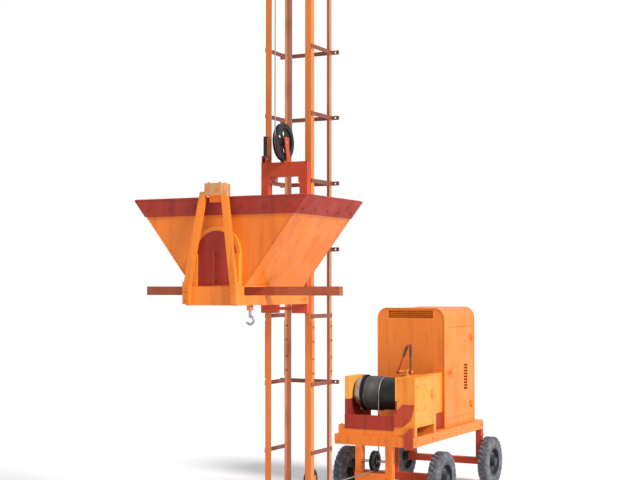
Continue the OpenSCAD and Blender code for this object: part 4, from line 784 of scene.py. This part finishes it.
LATCH_Y, LATCH_Z = 2.945, 1.43
bm = bmesh.new()
add_rod(bm, (WALL_X, LATCH_Y, LATCH_Z), (0.428, LATCH_Y, LATCH_Z), 0.026, 24)
add_rod(bm, (0.428, LATCH_Y, LATCH_Z), (0.446, LATCH_Y, LATCH_Z), 0.011, 16)
add_block(bm, (0.444, 2.934, 1.375), (0.456, 2.956, 1.485), 0.005, 2)
latch = finish_piece(bm, "door_latch", orange_enamel, "canopy_door")
print("canopy pieces:", [o.name for o in (front_box, door_box, front_slats, door_slats, rivets, latch)])

# %% [markdown]
# Behind the door the engine has an exhaust pipe with a silencer, an air cleaner and a fuel line. They
# show when the door swings open.

# %% Engine fittings
PIPE_Y, PIPE_Z, SILENCER_SIDES = 3.42, 1.50, 24
CLEANER_X, CLEANER_Y = -0.05, 3.02
bm = bmesh.new()
for x in (-0.15, 0.05):
    add_rod(bm, (x, 3.22, PIPE_Z), (x, PIPE_Y, PIPE_Z), 0.020, 14)
    add_rod(bm, (x, 3.228, PIPE_Z), (x, 3.240, PIPE_Z), 0.034, 14)
add_rod(bm, (-0.27, PIPE_Y, PIPE_Z), (0.17, PIPE_Y, PIPE_Z), 0.052, SILENCER_SIDES)
ends = [f for f in bm.faces if len(f.verts) == SILENCER_SIDES]
bmesh.ops.inset_region(bm, faces=ends, thickness=0.012, depth=0.008)
add_rod(bm, (-0.27, PIPE_Y, PIPE_Z), (-0.33, PIPE_Y, PIPE_Z), 0.018, 14)
exhaust = finish_piece(bm, "engine_exhaust", black_cast, "root")
bm = bmesh.new()
for low, high, radius, sides, top_radius in ((1.33, 1.47, 0.055, 24, 0.055), (1.47, 1.495, 0.062, 24, 0.045),
                                             (1.495, 1.515, 0.008, 10, 0.008)):
    add_rod(bm, (CLEANER_X, CLEANER_Y, low), (CLEANER_X, CLEANER_Y, high), radius, sides, top_radius)
cleaner = finish_piece(bm, "air_cleaner", black_cast, "root")
bm = bmesh.new()
add_rod(bm, (-0.05, 3.43, 1.26), (-0.05, 3.43, 1.275), 0.035, 20)
add_rod(bm, (0.09, 3.36, 1.255), (0.09, 3.36, 1.42), 0.004, 8)
add_rod(bm, (0.09, 3.36, 1.42), (0.05, 3.225, 1.42), 0.004, 8)
fuel = finish_piece(bm, "fuel_cap_and_line", zinc_steel, "root")
print("engine fittings:", [o.name for o in (exhaust, cleaner, fuel)])

# %% [markdown]
# ## Winch
# The drum runs between two plates. Its left bearing is closed by a bolted cap, and the gear housing on
# the right has a boss, a bolted inspection lid and a row of cover screws; the housing, caps and lid are a
# lighter orange, which is painted light. A front plate ties the bearing plates, its dark red painted shade
# under the drum; a slanting plate stands before the housing; a dark red sheet with bolts closes the room
# under the belt guard as painted shade; and a draw bolt tightens the brake band.

# %% Bearing cap, housing lid and screws
PINION_Y = 2.3004
PLATE_X, CAP_X = -0.372, -0.386
COVER_X, LID_X, BOSS_X = 0.471, 0.476, 0.481
bm = bmesh.new()
for y, start, end, radius in ((DRUM_Y, PLATE_X, CAP_X, 0.075), (DRUM_Y, CAP_X, -0.398, 0.048),
                              (PINION_Y, COVER_X, BOSS_X, 0.055), (PINION_Y, BOSS_X, 0.487, 0.034)):
    add_rod(bm, (start, y, DRUM_Z), (end, y, DRUM_Z), radius, 32)
add_block(bm, (COVER_X, 1.845, 1.08), (LID_X, 2.085, 1.36), 0.002)
caps = finish_piece(bm, "winch_caps_and_lid", lit_enamel, "root")

bm = bmesh.new()
CAP_BOLT_RING, BOSS_BOLT_RING = 0.061, 0.044
for k in range(4):
    angle = math.pi / 4 + math.pi / 2 * k
    across, up = math.cos(angle), math.sin(angle)
    add_bolt(bm, (CAP_X, DRUM_Y + CAP_BOLT_RING * across, DRUM_Z + CAP_BOLT_RING * up), (-1, 0, 0), 0.008)
    add_bolt(bm, (BOSS_X, PINION_Y + BOSS_BOLT_RING * across, DRUM_Z + BOSS_BOLT_RING * up), (1, 0, 0),
             0.006, 0.006)
for y in (1.862, 2.068):
    for z in (1.098, 1.342):
        add_bolt(bm, (LID_X, y, z), (1, 0, 0), 0.007)
for z in (0.925, 1.415):
    bolts_on(bm, "gear_cover", [(0.9, y, z) for y in spread(1.815, 2.375, 7)], (-1, 0, 0), 0.006, 0.006)
for z in (1.20, 1.415):
    bolts_on(bm, "gear_cover", [(x, 1.0, z) for x in spread(0.285, 0.445, 3)], (0, 1, 0), 0.006, 0.006)
for z in (1.02, 1.415):
    bolts_on(bm, "gear_cover", [(0.9, y, z) for y in spread(2.44, 2.76, 4)], (-1, 0, 0), 0.006, 0.006)
bolts_on(bm, "winch_frame", [(x, 1.82, 0.96) for x in (-0.425, -0.10, 0.10)], (0, 0, -1), 0.011)
bolts_on(bm, "winch_frame", [(x, 2.37, 0.96) for x in (-0.425, -0.20, 0.10)], (0, 0, -1), 0.011)
winch_bolts = finish_piece(bm, "winch_bolts", lit_enamel, "root")
print("winch fasteners:", len(winch_bolts.data.polygons), "faces")

# %% Front plates and brake draw bolt
def add_plate(bm, outline, y, thick):
    verts = [bm.verts.new((x, y, z)) for x, z in outline]
    face = bm.faces.new(verts)
    grown = bmesh.ops.extrude_face_region(bm, geom=[face])["geom"]
    far = [part for part in grown if isinstance(part, bmesh.types.BMVert)]
    bmesh.ops.translate(bm, vec=(0, thick, 0), verts=far)
    bmesh.ops.recalc_face_normals(bm, faces=bm.faces)


FRONT_PLATE_Y, SHADE_SHEET_X = 1.782, 0.391
DRAW_X, DRAW_Z, LUG_NEAR, LUG_FAR, LUG_T = -0.271, 1.427, -0.0124, 0.0251, 0.012
bm = bmesh.new()
# The front plate's dark red is painted shade under the drum.
add_block(bm, (PLATE_X, FRONT_PLATE_Y, 0.862), (0.225, 1.790, 1.020), 0.002)
for x in (-0.352, 0.205):
    for z in (0.935, 0.995):
        add_bolt(bm, (x, FRONT_PLATE_Y, z), (0, -1, 0), 0.008)
front_plate = finish_piece(bm, "winch_front_plate", dark_red_and_shade, "root")
bm = bmesh.new()
add_plate(bm, [(0.228, 0.905), (0.330, 0.905), (0.425, 0.985), (0.470, 1.150), (0.325, 1.150),
               (0.228, 1.030)], 1.780, 0.010)
slant_plate = finish_piece(bm, "winch_slant_plate", red_orange, "root")
bm = bmesh.new()
# A dark red sheet under the belt guard: painted shade where the guard shades the deck.
add_block(bm, (0.386, 2.402, DECK_Z), (SHADE_SHEET_X, 2.788, 0.990), 0.001)
for y in spread(2.43, 2.76, 4):
    add_bolt(bm, (SHADE_SHEET_X, y, 0.825), (1, 0, 0), 0.006, 0.006)
shade_sheet = finish_piece(bm, "belt_guard_shade_sheet", dark_red_and_shade, "root")
bm = bmesh.new()
for y in (DRUM_Y + LUG_NEAR, DRUM_Y + LUG_FAR):
    add_block(bm, (-0.286, y, 1.400), (-0.256, y + LUG_T, 1.444), 0.002)
add_rod(bm, (DRAW_X, DRUM_Y - 0.030, DRAW_Z), (DRAW_X, DRUM_Y + 0.060, DRAW_Z), 0.006, 12)
add_bolt(bm, (DRAW_X, DRUM_Y + LUG_FAR + LUG_T, DRAW_Z), (0, 1, 0), 0.009, 0.010)
add_bolt(bm, (DRAW_X, DRUM_Y + LUG_NEAR, DRAW_Z), (0, -1, 0), 0.009, 0.010)
draw_bolt = finish_piece(bm, "brake_draw_bolt", zinc_steel, "root")

GRIP_Y, GRIP_Z0, GRIP_Z1 = 2.13, 1.655, 1.758
winch_pieces = [caps, front_plate, slant_plate, shade_sheet, draw_bolt]
for lever, low_x, high_x in (("brake_lever", 0.1935, 0.2325), ("clutch_lever", 0.279, 0.279)):
    bm = bmesh.new()
    add_rod(bm, (low_x, GRIP_Y, GRIP_Z0), (high_x, GRIP_Y, GRIP_Z1), 0.0150, 18, 0.0165)
    winch_pieces.append(finish_piece(bm, lever + "_grip", grip_rubber, lever))
print("winch pieces:", [piece.name for piece in winch_pieces])

# %% [markdown]
# ## Chassis
# The deck between winch and canopy is tread plate: low lozenges in rows, turned left and right in
# turn. A red bracket closes the front right corner, and bolts hold the frame and the rear axle's hangers.

# %% Tread plate, bracket and bolts
LOZENGE_R, LOZENGE_TOP_R, LOZENGE_H, LOZENGE_SLIM, LOZENGE_Z = 0.014, 0.009, 0.003, 0.32, 0.8012
bm = bmesh.new()
lozenges = 0
for row, y in enumerate(spread(2.435, 2.765, 10)):
    for column, x in enumerate(spread(-0.445, 0.445, 25)):
        bar = bmesh.ops.create_cone(bm, cap_ends=True, segments=4, radius1=LOZENGE_R, radius2=LOZENGE_TOP_R,
                                    depth=LOZENGE_H)["verts"]
        turn = Matrix.Rotation(math.pi / 4 if (row + column) % 2 else -math.pi / 4, 4, "Z")
        place = Matrix.Translation((x, y, LOZENGE_Z)) @ turn @ Matrix.Diagonal((1, LOZENGE_SLIM, 1, 1))
        bmesh.ops.transform(bm, matrix=place, verts=bar)
        lozenges += 1
tread_plate = finish_piece(bm, "deck_tread", orange_enamel, "root", 20)
bm = bmesh.new()
add_plate(bm, [(0.365, 0.668), (0.475, 0.668), (0.475, 0.898), (0.425, 0.898), (0.365, 0.802)], 1.732, 0.008)
add_block(bm, (0.430, 1.740, 0.802), (0.438, 1.790, 0.898))
bracket = finish_piece(bm, "front_corner_bracket", red_orange, "root")
bm = bmesh.new()
for side in (-1, 1):
    for y in (3.875, 3.925):
        bolts_on(bm, "rear_axle", [(side * 0.52, y, z) for z in (0.42, 0.62)], (-side, 0, 0), 0.010)
    bolts_on(bm, "chassis_frame", [(side * 0.9, y, 0.74) for y in (1.80, 2.31, 3.90)], (-side, 0, 0), 0.010)
bolts_on(bm, "chassis_frame", [(x, 1.0, 0.74) for x in (-0.40, -0.30, 0.30)], (0, 1, 0), 0.010)
for x in (-0.18, 0.18):
    bolts_on(bm, "link_posts", [(x, 1.0, z) for z in (0.32, 0.36, 0.62, 0.66)], (0, 1, 0), 0.009)
chassis_bolts = finish_piece(bm, "chassis_bolts", orange_enamel, "root")
print("chassis pieces:", [o.name for o in (tread_plate, bracket, chassis_bolts)], "lozenges:", lozenges)

# %% [markdown]
# ## Mast
# The side rungs are welded flat on the legs, so each end gets a bead above and below. The fixed rope end
# has three clips under its anchor.

# %% Mast welds and rope clips
RUNGS, RUNG_Z0, RUNG_PITCH, RUNG_EDGE = 10, 0.20, 0.65, 0.0215
WELD_X, WELD_LEN, WELD_R = 0.2525, 0.05, 0.0035
bm = bmesh.new()
for level in range(RUNGS):
    z = RUNG_Z0 + RUNG_PITCH * level
    for x in (-WELD_X, WELD_X):
        for y in (-0.218, 0.168):
            for edge in (-RUNG_EDGE, RUNG_EDGE):
                add_weld(bm, (x, y, z + edge), (x, y + WELD_LEN, z + edge), WELD_R)
mast_welds = finish_piece(bm, "mast_welds", orange_enamel, "root", 60)
bm = bmesh.new()
for z in (6.35, 6.29, 6.23):
    add_block(bm, (-0.017, -0.494, z - 0.009), (0.017, -0.466, z + 0.009), 0.003, 2)
    for x in (-0.012, 0.012):
        add_bolt(bm, (x, -0.466, z), (0, 1, 0), 0.006, 0.008)
clips = finish_piece(bm, "rope_clips", zinc_steel, "root")
print("mast pieces:", len(mast_welds.data.polygons), len(clips.data.polygons))

# %% [markdown]
# ## Close the scene
